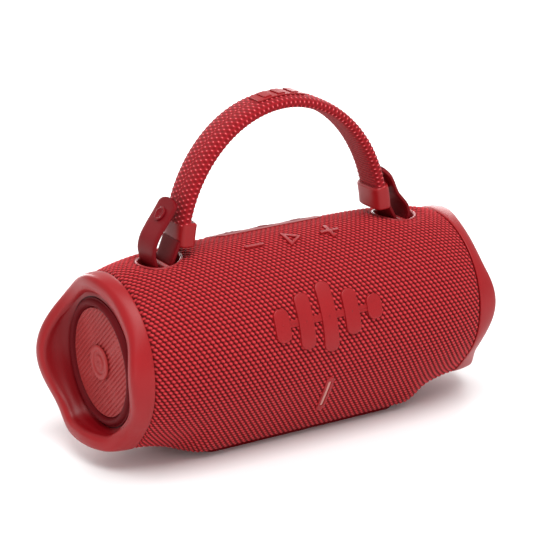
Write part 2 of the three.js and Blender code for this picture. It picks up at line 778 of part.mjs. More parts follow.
// ---- Drivers ----
// Oval rings for the woofer: [half of the straight run, end radius, y].
function ovalRing([straight, radius, y], corners = 20) {
  return Array.from({ length: corners }, (_, j) => {
    const a = ((j + 0.5) / corners) * FULL_TURN;
    const x = Math.sign(Math.cos(a)) * straight + radius * Math.cos(a);
    return [WOOFER_X + x, WOOFER_Y + y, AXIS_Z + radius * Math.sin(a)];
  });
}

const ovalWall = (profile) => loft(profile.map((step) => ovalRing(step)), true);
const ovalSolid = (profile) => loft(profile.map((step) => ovalRing(step)), false);

function woofer() {
  const s = WOOFER_STRAIGHT;
  add('woofer_frame', ovalWall([[s, 26.5, 0], [s, 26.5, 2.2], [s, 22, 2.2], [0, 17, 18],
    [0, 11.4, 18], [0, 11.4, 16.6], [0, 15.6, 16.6], [s, 20.4, 1.6], [s, 20.4, 0]]), FINISH.steel);
  add('woofer_surround', ovalWall([[s, 23, -GAP], [s, 23, -1], [s, 22.2, -1], [s, 21.2, -2.7],
    [s, 19.8, -3.3], [s, 18.4, -2.7], [s, 17.4, -1.1], [s, 16.8, -1.1], [s, 16.8, -0.4],
    [s, 17.9, -0.4], [s, 18.8, -2], [s, 19.8, -2.6], [s, 20.8, -2], [s, 21.7, -GAP]]),
  FINISH.blackRubber);
  add('woofer_cone', ovalWall([[s, 17.8, -0.1], [s, 17.8, 0.6], [0, 10.2, 11.2], [0, 10.2, 10.4],
    [s, 16.6, -0.1]]), FINISH.paper);
  add('woofer_dust_cap', ovalSolid([[0, 9.6, 10.2], [0, 9.4, 9.4], [0, 7.6, 7.8], [0, 4.6, 6.7],
    [0, 1.6, 6.3]]), FINISH.paper);
  const axisY = (profile) => turnedAboutY(profile.map(([r, y]) => [r, WOOFER_Y + y]),
    WOOFER_X, AXIS_Z);
  add('woofer_voice_coil', axisY([[9.4, 11.6], [10, 11.6], [10, 23], [9.4, 23]]), FINISH.copper);
  add('woofer_magnet', axisY([[0, 18.3], [8.8, 18.3], [8.8, 27.5], [10.6, 27.5], [10.6, 18.3],
    [16.5, 18.3], [17, 18.8], [17, 30.5], [16.5, 31], [0, 31]]), FINISH.steel);
}

function wooferScrews() {
  const reach = 24.8 * Math.SQRT1_2;
  const corners = [[-1, -1], [1, -1], [1, 1], [-1, 1]];
  corners.forEach(([sx, sz], i) => {
    const x = WOOFER_X + sx * (WOOFER_STRAIGHT + reach);
    const head = turnedAboutY([[0, WOOFER_Y - 1.5], [1.1, WOOFER_Y - 1.5], [1.5, WOOFER_Y - 1.1],
      [1.5, WOOFER_Y - GAP], [0, WOOFER_Y - GAP]], x, AXIS_Z + sz * reach, 10);
    add(`woofer_screw_${i + 1}`, head, FINISH.steel);
  });
}

function tweeter() {
  const axisY = (profile) => turnedAboutY(profile, TWEETER_X, AXIS_Z, 20);
  add('tweeter_housing', axisY([[9.9, -36], [14, -36], [14, -30], [9, -30], [9, -31.4],
    [9.9, -31.4]]), FINISH.darkPlastic);
  add('tweeter_dome', axisY([[0, -31.8], [9.4, -31.8], [9.2, -32.6], [7.4, -34.2], [4.4, -35.4],
    [0, -35.8]]), FINISH.aluminium);
  add('tweeter_magnet', axisY([[0, -29.7], [10, -29.7], [10, -22.5], [9.5, -22], [0, -22]]),
    FINISH.steel);
}

// ---- Inside ----
function electronics() {
  const pack = new THREE.ExtrudeGeometry(roundedRectangle(32, 18, 8), {
    depth: 124, bevelEnabled: false, curveSegments: 5,
  }).rotateX(Math.PI / 2).rotateZ(Math.PI / 2);
  add('battery_pack', pack.translate(-62, 8, AXIS_Z - 29), FINISH.battery);
  add('main_board', box(116, 1.6, 44, 0, 22.8, AXIS_Z + 6), FINISH.board);
  add('shield_can', box(44, 4.4, 30, -24, 19.4, AXIS_Z + 6), FINISH.aluminium);
}

fabricCover();
housings();
foot();
endCaps();
radiators();
strap();
add('front_emblem', frontEmblem(), FINISH.softRed);
statusLight();
controls();
port();
woofer();
wooferScrews();
tweeter();
electronics();

export default root;
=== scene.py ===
"""Looks for the portable barrel speaker. Sizes are in millimetres until a mesh is made."""
import json
import math

import bpy
import numpy as np
from mathutils import Matrix, Vector


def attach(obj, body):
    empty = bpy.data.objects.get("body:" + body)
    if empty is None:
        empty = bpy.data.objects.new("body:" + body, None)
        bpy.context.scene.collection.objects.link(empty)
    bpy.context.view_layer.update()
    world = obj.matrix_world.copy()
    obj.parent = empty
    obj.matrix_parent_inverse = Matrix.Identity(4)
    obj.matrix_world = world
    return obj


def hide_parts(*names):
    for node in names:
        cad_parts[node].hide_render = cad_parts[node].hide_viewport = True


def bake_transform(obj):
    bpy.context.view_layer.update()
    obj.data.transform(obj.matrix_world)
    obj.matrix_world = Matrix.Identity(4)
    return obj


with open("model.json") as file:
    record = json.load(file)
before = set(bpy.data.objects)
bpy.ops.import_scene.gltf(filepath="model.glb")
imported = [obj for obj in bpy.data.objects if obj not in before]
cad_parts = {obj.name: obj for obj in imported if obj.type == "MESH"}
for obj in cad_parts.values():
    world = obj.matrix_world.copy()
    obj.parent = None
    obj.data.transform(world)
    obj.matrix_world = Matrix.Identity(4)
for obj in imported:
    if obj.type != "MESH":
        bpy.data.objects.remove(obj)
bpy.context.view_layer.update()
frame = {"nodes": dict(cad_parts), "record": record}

MM = 0.001

# ---- Sizes shared with the CAD part ----
AXIS_Z = 51.5
MID_RADIUS = 47.0
FABRIC_END_X = 92.6
END_DROP = 5.6
TAPER_POWER = 5.2
KEEL_DEPTH = 49.5
KEEL_END_DEPTH = 42.0
KEEL_HALF_WIDTH = 26.0
WAIST_HALF_WIDTH = 17.0
KEEL_END_X = 57.0
WAIST_X = 77.0
CORNER_SHARPNESS = 20.0
END_FLARE = 2.0                 # the keel widens again by this much past its waist
ALMOST_LEVEL = 0.02             # keeps the keel's depth finite on the way up to level
RIM_X = 105.7                   # mean reach of the end caps' rims
RIM_LEAN = 4.7                  # the rear reaches further than the front
RIM_DROP = 4.3                  # and the bottom further than the top
RIM_SKEW = 1.6
RIM_OVAL = 1.1
RIM_MIN_X = 100.4
RIM_EASE = 0.8
RIM_LOBES = 4
RIM_LOBE_TURN = math.pi / 36
RIM_LOBE_REACH = 2.2
RIM_RADIUS = 40.4
RIM_TUCK = 0.9
RIM_LOBE_HEIGHT = 0.8
RECESS_RADIUS = 32.0
LIP_DEPTH = 7.2                 # the recess's lip lies this far inside the rim
LIP_SETBACK = 2.2               # and this far back from it
LIP_EASE = 0.6
LIP_MIN_RADIUS = RECESS_RADIUS + 1.6
WALL_CURVE = 1.6
RADIATOR_X = 100.0
RADIATOR_Z = AXIS_Z - 1.5
THROAT_X = RADIATOR_X - 0.6
CAP_START_X = FABRIC_END_X + 0.3
CAP_SHOULDER_SETBACK = 1.4
CAP_POINTS = 288
EYELET_X = 67.5
EYELET_RADIUS = 11.6
STRAP_HALF_SPAN = 58.2
STRAP_BASE_Z = AXIS_Z + 45.0
STRAP_RISE = 68.2
STRAP_WIDTH = 18.4              # at its feet
STRAP_SPREAD = 2.8              # how much wider the strap is at its crown
STRAP_PULL = 1.8                # the right leg stands this much further in than the left
STRAP_THICKNESS = 6.4
FERRULE_BOTTOM = 5.5
FERRULE_TOP = 17.6
FERRULE_OVERLAP = 1.5           # how far the webbing runs down inside the ferrule
FERRULE_EDGE = (0.4, -1.0)      # thickness and width over the strap's, at the ferrule's ends
FERRULE_SWELL = (2.6, 2.4)      # and how much more they are past the rounding
FERRULE_ROUNDING = 1.2
LOOP_THICKNESS = 2.0
LOOP_WIDTH = 16.0
LOOP_TIP_ROUNDING = 4.0
LOOP_TIP_SWELL = 0.3
LOOP_TIP_SPAN = 3.0
LOOP_WAIST = 0.06               # part of the width that is lost at the waist
LOOP_WAIST_AT = 16.0
LOOP_WAIST_SPAN = 8.0
LOOP_PULL_FROM = 42.0           # over the axis; above LOOP_PULL_TO a loop moves with the strap's pull
LOOP_PULL_TO = 58.0
LOOP_INTO_FERRULE = (59.8, 54.0)
LOOP_UNDER_BAR = [(61.4, 50.1), (62.9, 46.5), (64.0, 43.4), (65.0, 40.4), (67.5, 39.0), (70.2, 39.9)]
LOOP_FLAP = {
    "left": [(72.2, 42.6), (73.3, 46.0), (73.8, 50.4), (72.4, 55.5), (69.2, 60.6), (65.5, 65.6),
             (62.4, 70.0), (60.3, 73.6)],
    "right": [(71.4, 42.4), (71.9, 46.0), (71.5, 50.0), (69.4, 53.6), (66.9, 56.9), (65.2, 60.3),
              (63.9, 63.4), (62.3, 66.6), (61.0, 69.4)],
}
STUD_AT = 0.85
ICON_ANGLE = 76.0
ICON_SPACING = 21.5
ICON_PROUD = 1.1
EYELET_DIP = 1.2                # how far the knit dips to meet the eyelet
EYELET_DIP_REACH = 5.0          # and how far from the eyelet it starts to
EYELET_HEM = 0.25
EYELET_FLOOR_Z = AXIS_Z + 36.4
STRIP_ANGLE = 110.0
STRIP_HALF_LENGTH = 31.0
STRIP_HEIGHT = 19.0
KEYS = {"link": -19, "power": 0, "pairing": 19}
KEY_LENGTH = 13.0
KEY_HEIGHT = 9.0
KEY_CORNER = 4.4
KEY_GAP = 0.3                   # all round, in the strip's pocket
MARK_FOOT = 0.5
MARK_TOP = 1.0
PORT_ANGLE = 205.0
PORT_WIDTH = 34.0
PORT_HEIGHT = 15.0
PATCH_HEM = 2.0                 # how far the knit runs in under the strip and port panel
EMBLEM_ANGLE = 20.0
EMBLEM_PROUD = 1.5
EMBLEM_HEIGHTS = (16, 27, 34, 22, 12)
EMBLEM_SPACING = 13
LIGHT_ANGLE = -33.0
LIGHT_X = 1.5
FOOT_HALF_LENGTH = 57.0
FOOT_HALF_WIDTH = 21.0
FOOT_TOP_Z = 3.2
FOOT_BEVEL = 0.5
FOOT_GROOVE = 0.7
GROOVE_SPACING = 4.0
FOOT_HEM = 1.0                  # how far the knit runs in under the foot

# ---- Surface detail ----
STITCH_PITCH = 2.64             # along the barrel
COURSE_PITCH = 2.0              # round the barrel; every other course is half a stitch over
STITCH_LEAN = 36.0
STITCH_HALF_LENGTH = 1.5
STITCH_HALF_WIDTH = 0.98
STITCH_ROUNDNESS = 0.6          # lower is flatter on top
KNIT_STEP = 0.4
KNIT_HEIGHT = 0.75
KNIT_FLOOR = -0.5
KNIT_TUCK = 1.1                 # how far and how deep the knit turns in at the caps
KNIT_PANELS = [("fabric_base_front", -90, -40), ("fabric_front", -40, 62), ("fabric_top", 62, 125),
               ("fabric_rear", 125, 216), ("fabric_base_rear", 216, 270)]
PIP_ALONG = 2.5
PIP_ACROSS = 2.55
RIB_PITCH = 1.6                 # on the strap's inner face
RIB_BREAK = 1.5
WEBBING_STEP = 0.28
WEBBING_STEP_AROUND = 0.36
WEBBING_RELIEF = 0.36
WEBBING_FLOOR = -0.25
GROOVE_PITCH = 2.05
GROOVE_SLANT = 42.0
GROOVE_DEPTH = 0.95

FULL_TURN = 2 * math.pi


# ---- The barrel's section, as in the CAD part ----
def smoothstep(value, low, high):
    """Eases from 0 at low to 1 at high."""
    t = np.clip((value - low) / (high - low), 0, 1)
    return t * t * (3 - 2 * t)


def eased_above(value, least, ease):
    """value, kept above least without a corner."""
    return least + ease * np.log1p(np.exp((value - least) / ease))


def rounded_end(distance, reach, least=0.0):
    """Rises to 1 along a quarter circle as distance goes from 0 to reach."""
    return np.sqrt(np.clip(1 - (1 - np.clip(distance / reach, 0, 1)) ** 2, least, 1))


def running_length(points):
    """How far along a polyline each of its points is."""
    return np.concatenate([[0], np.cumsum(np.linalg.norm(np.diff(points, axis=0), axis=1))])


def barrel_radius(x):
    """The round part's radius, which draws in towards the ends."""
    return MID_RADIUS - END_DROP * np.abs(x / FABRIC_END_X) ** TAPER_POWER


def section_radius(x, angle):
    """How far the skin is from the axis, with the keel below."""
    x, angle = np.broadcast_arrays(np.asarray(x, float), np.asarray(angle, float))
    radius = barrel_radius(x)
    to_waist = smoothstep(np.abs(x), KEEL_END_X, WAIST_X)
    to_end = smoothstep(np.abs(x), KEEL_END_X, FABRIC_END_X)
    half_width = KEEL_HALF_WIDTH + (WAIST_HALF_WIDTH - KEEL_HALF_WIDTH) * to_waist
    half_width = half_width + END_FLARE * to_end
    depth = KEEL_DEPTH + (KEEL_END_DEPTH - KEEL_DEPTH) * to_end
    down = np.arctan2(-np.sin(angle), np.abs(np.cos(angle)))
    corner = np.arctan2(depth, half_width)
    tangent = corner - np.arccos(radius / np.hypot(depth, half_width))
    flank = radius / np.cos(np.clip(down - tangent, 0, None))
    floor = depth / np.sin(np.clip(down, ALMOST_LEVEL, None))
    keel = (flank ** -CORNER_SHARPNESS + floor ** -CORNER_SHARPNESS) ** (-1 / CORNER_SHARPNESS)
    return np.where(down <= 0, radius, keel)


def barrel_point(x, angle, lift=0.0):
    """A point over the barrel's skin. Angles are in radians, from the front up."""
    r = section_radius(x, angle) + lift
    return np.stack([x + 0 * r, -r * np.cos(angle), AXIS_Z + r * np.sin(angle)], -1)


# ---- Mesh helpers ----
def mesh_object(name, points, faces, smooth=True):
    mesh = bpy.data.meshes.new(name)
    points = np.asarray(points, float).reshape(-1, 3) * MM
    faces = np.asarray(faces, np.int32)
    corners = faces.shape[1]
    mesh.vertices.add(len(points))
    mesh.vertices.foreach_set("co", points.ravel())
    mesh.loops.add(faces.size)
    mesh.loops.foreach_set("vertex_index", faces.ravel())
    mesh.polygons.add(len(faces))
    mesh.polygons.foreach_set("loop_start", np.arange(0, faces.size, corners, dtype=np.int32))
    mesh.polygons.foreach_set("use_smooth", np.full(len(faces), smooth))
    mesh.update(calc_edges=True)
    mesh.validate()
    obj = bpy.data.objects.new(name, mesh)
    bpy.context.scene.collection.objects.link(obj)
    return obj


def grid_faces(rows, columns, close_rows, close_columns):
    i = np.arange(rows if close_rows else rows - 1)
    j = np.arange(columns if close_columns else columns - 1)
    i, j = np.meshgrid(i, j, indexing="ij")
    i2 = (i + 1) % rows
    j2 = (j + 1) % columns
    return np.stack([i * columns + j, i2 * columns + j, i2 * columns + j2, i * columns + j2],
                    -1).reshape(-1, 4)


def face_outwards(obj):
    """Turns the whole mesh inside out if its enclosed volume is negative."""
    mesh = obj.data
    mesh.calc_loop_triangles()
    tri = np.empty(len(mesh.loop_triangles) * 3, np.int32)
    mesh.loop_triangles.foreach_get("vertices", tri)
    co = np.empty(len(mesh.vertices) * 3)
    mesh.vertices.foreach_get("co", co)
    p = co.reshape(-1, 3)[tri.reshape(-1, 3)]
    if np.einsum("ij,ij->i", p[:, 0], np.cross(p[:, 1], p[:, 2])).sum() < 0:
        mesh.flip_normals()
    return obj


def cap_faces(ring_start, count, centre):
    j = np.arange(count)
    k = (j + 1) % count
    return np.stack([ring_start + j, ring_start + k, np.full(count, centre)], -1)


def loft(name, rings, closes_on_itself=False, capped=True):
    """Skins a stack of closed rings, an array of [ring, point, xyz]."""
    rings = np.asarray(rings, float)
    rows, columns = rings.shape[:2]
    points = rings.reshape(-1, 3)
    quads = grid_faces(rows, columns, closes_on_itself, True)
    if closes_on_itself or not capped:
        return face_outwards(mesh_object(name, points, quads))
    ends = np.stack([rings[0].mean(0), rings[-1].mean(0)])
    points = np.vstack([points, ends])
    last = rows * columns
    caps = np.vstack([cap_faces(0, columns, last)[:, ::-1],
                      cap_faces(last - columns, columns, last + 1)])
    tris = np.vstack([quads[:, [0, 1, 2]], quads[:, [0, 2, 3]], caps])
    return face_outwards(mesh_object(name, points, tris))


def store(obj, name, values):
    """Keeps one number for each vertex, for a material to read."""
    layer = obj.data.attributes.new(name, "FLOAT", "POINT")
    layer.data.foreach_set("value", np.asarray(values, np.float32).ravel())


def turned(name, profile, place, count=96):
    """A profile of (radius, height) points turned about an axis. place maps (across,
    aside, height) arrays to points. A profile that starts off the axis closes on itself."""
    profile = np.asarray(profile, float)
    a = np.arange(count) / count * FULL_TURN
    r, h = profile[:, :1], profile[:, 1:]
    rings = place(r * np.cos(a), r * np.sin(a), h + 0 * a)
    return loft(name, rings, closes_on_itself=profile[0, 0] > 0.01)


def rounded_profile(points, radius=0.25, steps=3, closed=False):
    """Rounds the corners of a profile."""
    points = [np.array(p, float) for p in points]
    out = []
    for i, p in enumerate(points):
        at_end = i in (0, len(points) - 1) and not closed
        before = points[i - 1] - p
        after = points[(i + 1) % len(points)] - p
        room = min(np.linalg.norm(before), np.linalg.norm(after)) * 0.45
        cut = min(radius, room)
        if at_end or cut < 0.02:
            out.append(p)
            continue
        start = p + before / np.linalg.norm(before) * cut
        end = p + after / np.linalg.norm(after) * cut
        for t in np.linspace(0, 1, steps + 1):
            out.append((1 - t) ** 2 * start + 2 * t * (1 - t) * p + t * t * end)
    return np.array(out)


def mirrored(obj, name):
    copy = obj.copy()
    copy.data = obj.data.copy()
    copy.name = copy.data.name = name
    bpy.context.scene.collection.objects.link(copy)
    copy.data.transform(Matrix.Scale(-1, 4, (1, 0, 0)))
    copy.data.flip_normals()
    return copy


# ---- Flat outlines and patches that follow the barrel ----
def rounded_rectangle(width, height, radius, per_corner=10, per_side=14):
    w, h = width / 2 - radius, height / 2 - radius
    out = []
    corners = [(w, -h, -90), (w, h, 0), (-w, h, 90), (-w, -h, 180)]
    for n, (cx, cy, start) in enumerate(corners):
        a = np.radians(np.linspace(start, start + 90, per_corner))
        arc = np.stack([cx + radius * np.cos(a), cy + radius * np.sin(a)], -1)
        nx, ny, turn = corners[(n + 1) % 4]
        a2 = math.radians(turn)
        nxt = np.array([nx + radius * math.cos(a2), ny + radius * math.sin(a2)])
        side = arc[-1] + (nxt - arc[-1]) * np.linspace(0, 1, per_side + 1)[1:-1, None]
        out += [arc, side]
    return np.vstack(out)


def polygon_outline(corners, radius, step=0.35):
    profile = rounded_profile(corners, radius, 5, closed=True)
    out = []
    for i, p in enumerate(profile):
        q = profile[(i + 1) % len(profile)]
        n = max(1, int(np.linalg.norm(q - p) / step))
        out += [p + (q - p) * k / n for k in range(n)]
    return np.array(out)


def inset_outline(outline, distance):
    ahead = np.roll(outline, -1, 0) - outline
    behind = outline - np.roll(outline, 1, 0)
    tangent = ahead / np.linalg.norm(ahead, axis=1)[:, None]
    tangent = tangent + behind / np.linalg.norm(behind, axis=1)[:, None]
    tangent /= np.linalg.norm(tangent, axis=1)[:, None]
    return outline + distance * np.stack([-tangent[:, 1], tangent[:, 0]], -1)


def patch(name, outline, x0, angle, base, top, bevel=0.4, hollow=None, crown=0.0, steps=8):
    """A raised piece whose outline lies in (along the barrel, up the skin). Its foot is
    at the height base over the skin and its face at top. hollow is an inner outline."""
    layers = [(outline, base), (outline, (base + top) / 2), (outline, top - bevel)]
    for t in np.radians([22, 45, 68, 90]):
        layers.append((inset_outline(outline, bevel * (1 - math.cos(t))),
                       top - bevel + bevel * math.sin(t)))
    face = inset_outline(outline, bevel)
    centre = outline.mean(0)
    if hollow is None:
        for t in np.linspace(0, 1, steps + 1)[1:-1]:
            layers.append((face + (centre - face) * t, top + crown * (1 - (1 - t) ** 2)))
        layers.append((face + (centre - face) * 0.995, top + crown))
    else:
        rim = inset_outline(hollow, -bevel)
        for t in np.linspace(0, 1, 4)[1:]:
            layers.append((face + (rim - face) * t, top))
        for t in np.radians([68, 45, 22, 0]):
            layers.append((inset_outline(hollow, -bevel * (1 - math.cos(t))),
                           top - bevel + bevel * math.sin(t)))
        layers.append((hollow, base))
    turn = math.radians(angle)
    rings = [barrel_point(x0 + line[:, 0], turn + line[:, 1] / MID_RADIUS, height)
             for line, height in layers]
    return loft(name, np.array(rings), closes_on_itself=hollow is not None)


# ---- Materials ----
def new_material(name, color, roughness, **sockets):
    material = bpy.data.materials.new(name)
    material.use_nodes = True
    shader = material.node_tree.nodes["Principled BSDF"]
    shader.inputs["Base Color"].default_value = (*color, 1)
    shader.inputs["Roughness"].default_value = roughness
    for key, value in sockets.items():
        shader.inputs[key.replace("_", " ")].default_value = value
    return material, material.node_tree, shader


def node(tree, kind, **values):
    made = tree.nodes.new(kind)
    for key, value in values.items():
        setattr(made, key, value)
    return made


def noise(tree, scale, detail=3.0, stretch=(1, 1, 1)):
    where = node(tree, "ShaderNodeTexCoord")
    mapping = node(tree, "ShaderNodeMapping")
    mapping.inputs["Scale"].default_value = stretch
    texture = node(tree, "ShaderNodeTexNoise")
    texture.inputs["Scale"].default_value = scale
    texture.inputs["Detail"].default_value = detail
    tree.links.new(where.outputs["Object"], mapping.inputs["Vector"])
    tree.links.new(mapping.outputs["Vector"], texture.inputs["Vector"])
    return texture.outputs["Fac"]


def ramp(tree, source, stops):
    made = node(tree, "ShaderNodeValToRGB")
    elements = made.color_ramp.elements
    while len(elements) < len(stops):
        elements.new(0.5)
    for element, (place, color) in zip(elements, stops):
        element.position = place
        element.color = (*color, 1)
    tree.links.new(source, made.inputs["Fac"])
    return made.outputs["Color"]


def scaled(tree, source, low, high):
    made = node(tree, "ShaderNodeMapRange")
    made.inputs["To Min"].default_value = low
    made.inputs["To Max"].default_value = high
    tree.links.new(source, made.inputs["Value"])
    return made.outputs["Result"]


def bump(tree, shader, height, strength, distance):
    made = node(tree, "ShaderNodeBump")
    made.inputs["Strength"].default_value = strength
    made.inputs["Distance"].default_value = distance
    tree.links.new(height, made.inputs["Height"])
    tree.links.new(made.outputs["Normal"], shader.inputs["Normal"])


def moulded(name, color, roughness, grain=2600, depth=0.00002, variation=0.06, painted_shade_colour=None,
            shine=0.5, **sockets):
    """Moulded rubber or plastic: fine grain, cloudy colour, uneven sheen. Where the mesh
    keeps a depth attribute, the colour darkens towards a given darker colour, painted shade for a recess."""
    material, tree, shader = new_material(name, color, roughness, **sockets)
    shader.inputs["Specular IOR Level"].default_value = shine
    cloud = noise(tree, 45, 4)
    dark = tuple(c * (1 - variation) for c in color)
    light = tuple(min(1, c * (1 + variation)) for c in color)
    shade = ramp(tree, cloud, [(0.3, dark), (0.7, light)])
    # Painted shade: darkens the colour where the mesh's depth attribute is high, deep in a recess.
    if painted_shade_colour:
        recess_shade_mask = node(tree, "ShaderNodeAttribute", attribute_name="depth")
        mix = node(tree, "ShaderNodeMix", data_type="RGBA")
        tree.links.new(recess_shade_mask.outputs["Fac"], mix.inputs[0])
        tree.links.new(shade, mix.inputs[6])
        mix.inputs[7].default_value = (*painted_shade_colour, 1)
        shade = mix.outputs[2]
    tree.links.new(shade, shader.inputs["Base Color"])
    tree.links.new(scaled(tree, noise(tree, 160, 5), roughness - 0.06, roughness + 0.08),
                   shader.inputs["Roughness"])
    bump(tree, shader, noise(tree, grain, 2), 0.5, depth)
    return material


def brushed(name, color, roughness, stretch=(1, 1, 30)):
    material, tree, shader = new_material(name, color, roughness, Metallic=1.0)
    streaks = noise(tree, 220, 4, stretch)
    tree.links.new(scaled(tree, streaks, roughness - 0.08, roughness + 0.15),
                   shader.inputs["Roughness"])
    bump(tree, shader, streaks, 0.25, 0.00002)
    return material


def yarn(name, gap, mid, light, attribute, fibre=(1, 1, 1)):
    """Yarn whose colour follows the relief kept on the mesh, with fine fibres: darker in the gaps,
    partly a darker yarn and partly painted shade, and lighter on the crests as a painted highlight.
    """
    material, tree, shader = new_material(name, mid, 0.78)
    shader.inputs["Sheen Weight"].default_value = 0.06
    shader.inputs["Sheen Roughness"].default_value = 0.5
    shader.inputs["Specular IOR Level"].default_value = 0.15
    relief = node(tree, "ShaderNodeAttribute", attribute_name=attribute)
    fuzz = noise(tree, 1500, 3, fibre)
    mix = node(tree, "ShaderNodeMath", operation="MULTIPLY_ADD")
    tree.links.new(scaled(tree, fuzz, -0.5, 0.5), mix.inputs[0])
    mix.inputs[1].default_value = 0.35
    tree.links.new(relief.outputs["Fac"], mix.inputs[2])
    # Painted shade in the gaps, partly a darker yarn, and painted highlight on the crests, set by the
    # relief.
    shade = ramp(tree, mix.outputs[0], [(0.08, gap), (0.58, mid), (1.0, light)])
    tree.links.new(shade, shader.inputs["Base Color"])
    bump(tree, shader, fuzz, 0.5, 0.00012)
    return material


def paint(obj, material):
    obj.data.materials.clear()
    obj.data.materials.append(material)
    return obj


RED = (0.30, 0.0055, 0.0085)
WINE = (0.17, 0.0030, 0.0065)
MATERIALS = {
    # Knit and webbing: gaps darker, partly a darker yarn and partly painted shade; crests lighter as a
    # painted highlight.
    "knit": yarn("knit", (0.045, 0.0002, 0.0008), (0.26, 0.0045, 0.0075), (0.64, 0.045, 0.055), "relief"),
    "webbing": yarn("webbing", (0.19, 0.002, 0.005), (0.44, 0.010, 0.018), (0.98, 0.22, 0.24),
                    "relief"),
    "soft_red": moulded("soft_red", RED, 0.40, shine=0.3),
    # The caps darken into their recesses as painted shade, read from the depth attribute.
    "cap_red": moulded("cap_red", RED, 0.38, painted_shade_colour=(0.20, 0.0010, 0.004), shine=0.3),
    "red_plastic": moulded("red_plastic", (0.30, 0.016, 0.020), 0.38, shine=0.3),
    "disc_red": moulded("disc_red", (0.34, 0.024, 0.024), 0.5, shine=0.3),
    "red_rubber": moulded("red_rubber", WINE, 0.45, shine=0.12),
    "dark_plastic": moulded("dark_plastic", (0.012, 0.012, 0.014), 0.5),
    "black_rubber": moulded("black_rubber", (0.016, 0.015, 0.016), 0.6, variation=0.2),
    # The radiators' surround is a dark red with little shine, darkened as painted shade for the deep
    # recess round the disc.
    "throat_shade_red": moulded("throat_shade_red", (0.11, 0.0015, 0.004), 0.6, shine=0.12),
    "steel": brushed("steel", (0.56, 0.57, 0.59), 0.3),
    "aluminium": brushed("aluminium", (0.75, 0.76, 0.78), 0.35),
    "copper": brushed("copper", (0.72, 0.36, 0.2), 0.35),
    "board": moulded("board", (0.01, 0.10, 0.045), 0.35, grain=900, variation=0.3),
    "paper": moulded("paper", (0.02, 0.02, 0.022), 0.8, grain=1200, depth=0.0001, variation=0.25),
    "battery": moulded("battery", (0.02, 0.05, 0.14), 0.4),
    "lens": moulded("lens", (0.50, 0.20, 0.17), 0.3, variation=0.03),
}


def show(obj, body, material, slot, *nodes):
    """Rides a finished piece on its body, paints it and hides the CAD nodes it stands for."""
    paint(obj, MATERIALS[material])
    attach(obj, body)
    if nodes:
        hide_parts(*nodes)
    return obj


# ---- Fabric ----
def arc_table():
    """Angles spaced evenly along the mid section, and the section's length."""
    angle = np.linspace(-math.pi / 2, 1.5 * math.pi, 4001)
    return angle, running_length(barrel_point(np.zeros_like(angle), angle))


def knit_height(x, run):
    """Leaning oval stitches, staggered from course to course. 0 is a gap, 1 a crest."""
    course = np.floor(run / COURSE_PITCH)
    crest = np.zeros(np.broadcast(x, run).shape)
    lean = math.radians(STITCH_LEAN)
    for dc in (-1, 0, 1, 2):
        row = course + dc
        down = (row + 0.5) * COURSE_PITCH - run
        shifted = x / STITCH_PITCH + 0.5 * (row % 2)
        for dx in (-1, 0, 1):
            along = (shifted - np.floor(shifted) - 0.5 - dx) * STITCH_PITCH
            long_way = along * math.cos(lean) + down * math.sin(lean)
            short_way = down * math.cos(lean) - along * math.sin(lean)
            q = (long_way / STITCH_HALF_LENGTH) ** 2 + (short_way / STITCH_HALF_WIDTH) ** 2
            crest = np.maximum(crest, np.clip(1 - q, 0, None) ** STITCH_ROUNDNESS)
    return crest


def knit_panel(name, start, end, table):
    """One panel of knit between two lengths round the section, open where it is covered."""
    angle, run = table
    rows = int((end - start) / KNIT_STEP) + 1
    columns = int(2 * FABRIC_END_X / KNIT_STEP) + 1
    s = np.linspace(start, end, rows)
    x = np.linspace(-FABRIC_END_X, FABRIC_END_X, columns)
    x, s = np.meshgrid(x, s)
    a = np.interp(s, run, angle)
    relief = knit_height(x, s)
    edge = smoothstep(FABRIC_END_X - np.abs(x), 0, KNIT_TUCK)
    lift = (KNIT_FLOOR + KNIT_HEIGHT * relief) * edge - KNIT_TUCK * (1 - edge)
    points = barrel_point(x, a, lift)
    from_eyelet = np.hypot(np.abs(points[..., 0]) - EYELET_X, points[..., 1]) - EYELET_RADIUS
    upper = points[..., 2] > AXIS_Z
    dip = EYELET_DIP * smoothstep(-from_eyelet, -EYELET_DIP_REACH, 0.0) * upper
    points = barrel_point(x, a, lift - dip)
    covered = (from_eyelet < -EYELET_HEM) & upper
    covered |= under_foot(points)
    covered |= under_patch(x, a, STRIP_ANGLE, 2 * STRIP_HALF_LENGTH, STRIP_HEIGHT)
    covered |= under_patch(x, a, PORT_ANGLE, PORT_WIDTH, PORT_HEIGHT)
    faces = grid_faces(rows, columns, False, False)
    keep = ~covered.ravel()[faces].any(1)
    return compact(name, points.reshape(-1, 3), faces[keep], relief.ravel())


def under_foot(points):
    """Where the knit is hidden by the foot and so is cut away, apart from a hem."""
    along = np.abs(points[..., 0]) < FOOT_HALF_LENGTH - FOOT_HEM
    across = np.abs(points[..., 1]) < FOOT_HALF_WIDTH - FOOT_HEM
    return along & across & (points[..., 2] < AXIS_Z - KEEL_DEPTH / 2)


def under_patch(x, angle, patch_angle, width, height):
    """Where the knit is hidden by a patch and so is cut away, apart from a hem."""
    up = (angle - math.radians(patch_angle)) * MID_RADIUS
    return (np.abs(x) < width / 2 - PATCH_HEM) & (np.abs(up) < height / 2 - PATCH_HEM)


def compact(name, points, faces, relief):
    """A mesh of only the points that its faces use."""
    used = np.unique(faces)
    index = np.full(len(points), -1, np.int32)
    index[used] = np.arange(len(used))
    obj = mesh_object(name, points[used], index[faces])
    store(obj, "relief", relief[used])
    return obj


def make_fabric():
    table = arc_table()
    angle, run = table
    for name, low, high in KNIT_PANELS:
        start, end = np.interp(np.radians([low, high]), angle, run)
        obj = knit_panel(name, start, end, table)
        face = obj.data.polygons[0]
        if face.normal.dot(face.center - Vector((0, 0, AXIS_Z * MM))) < 0:
            obj.data.flip_normals()
        show(obj, "barrel", "knit", "knit", "fabric_cover")


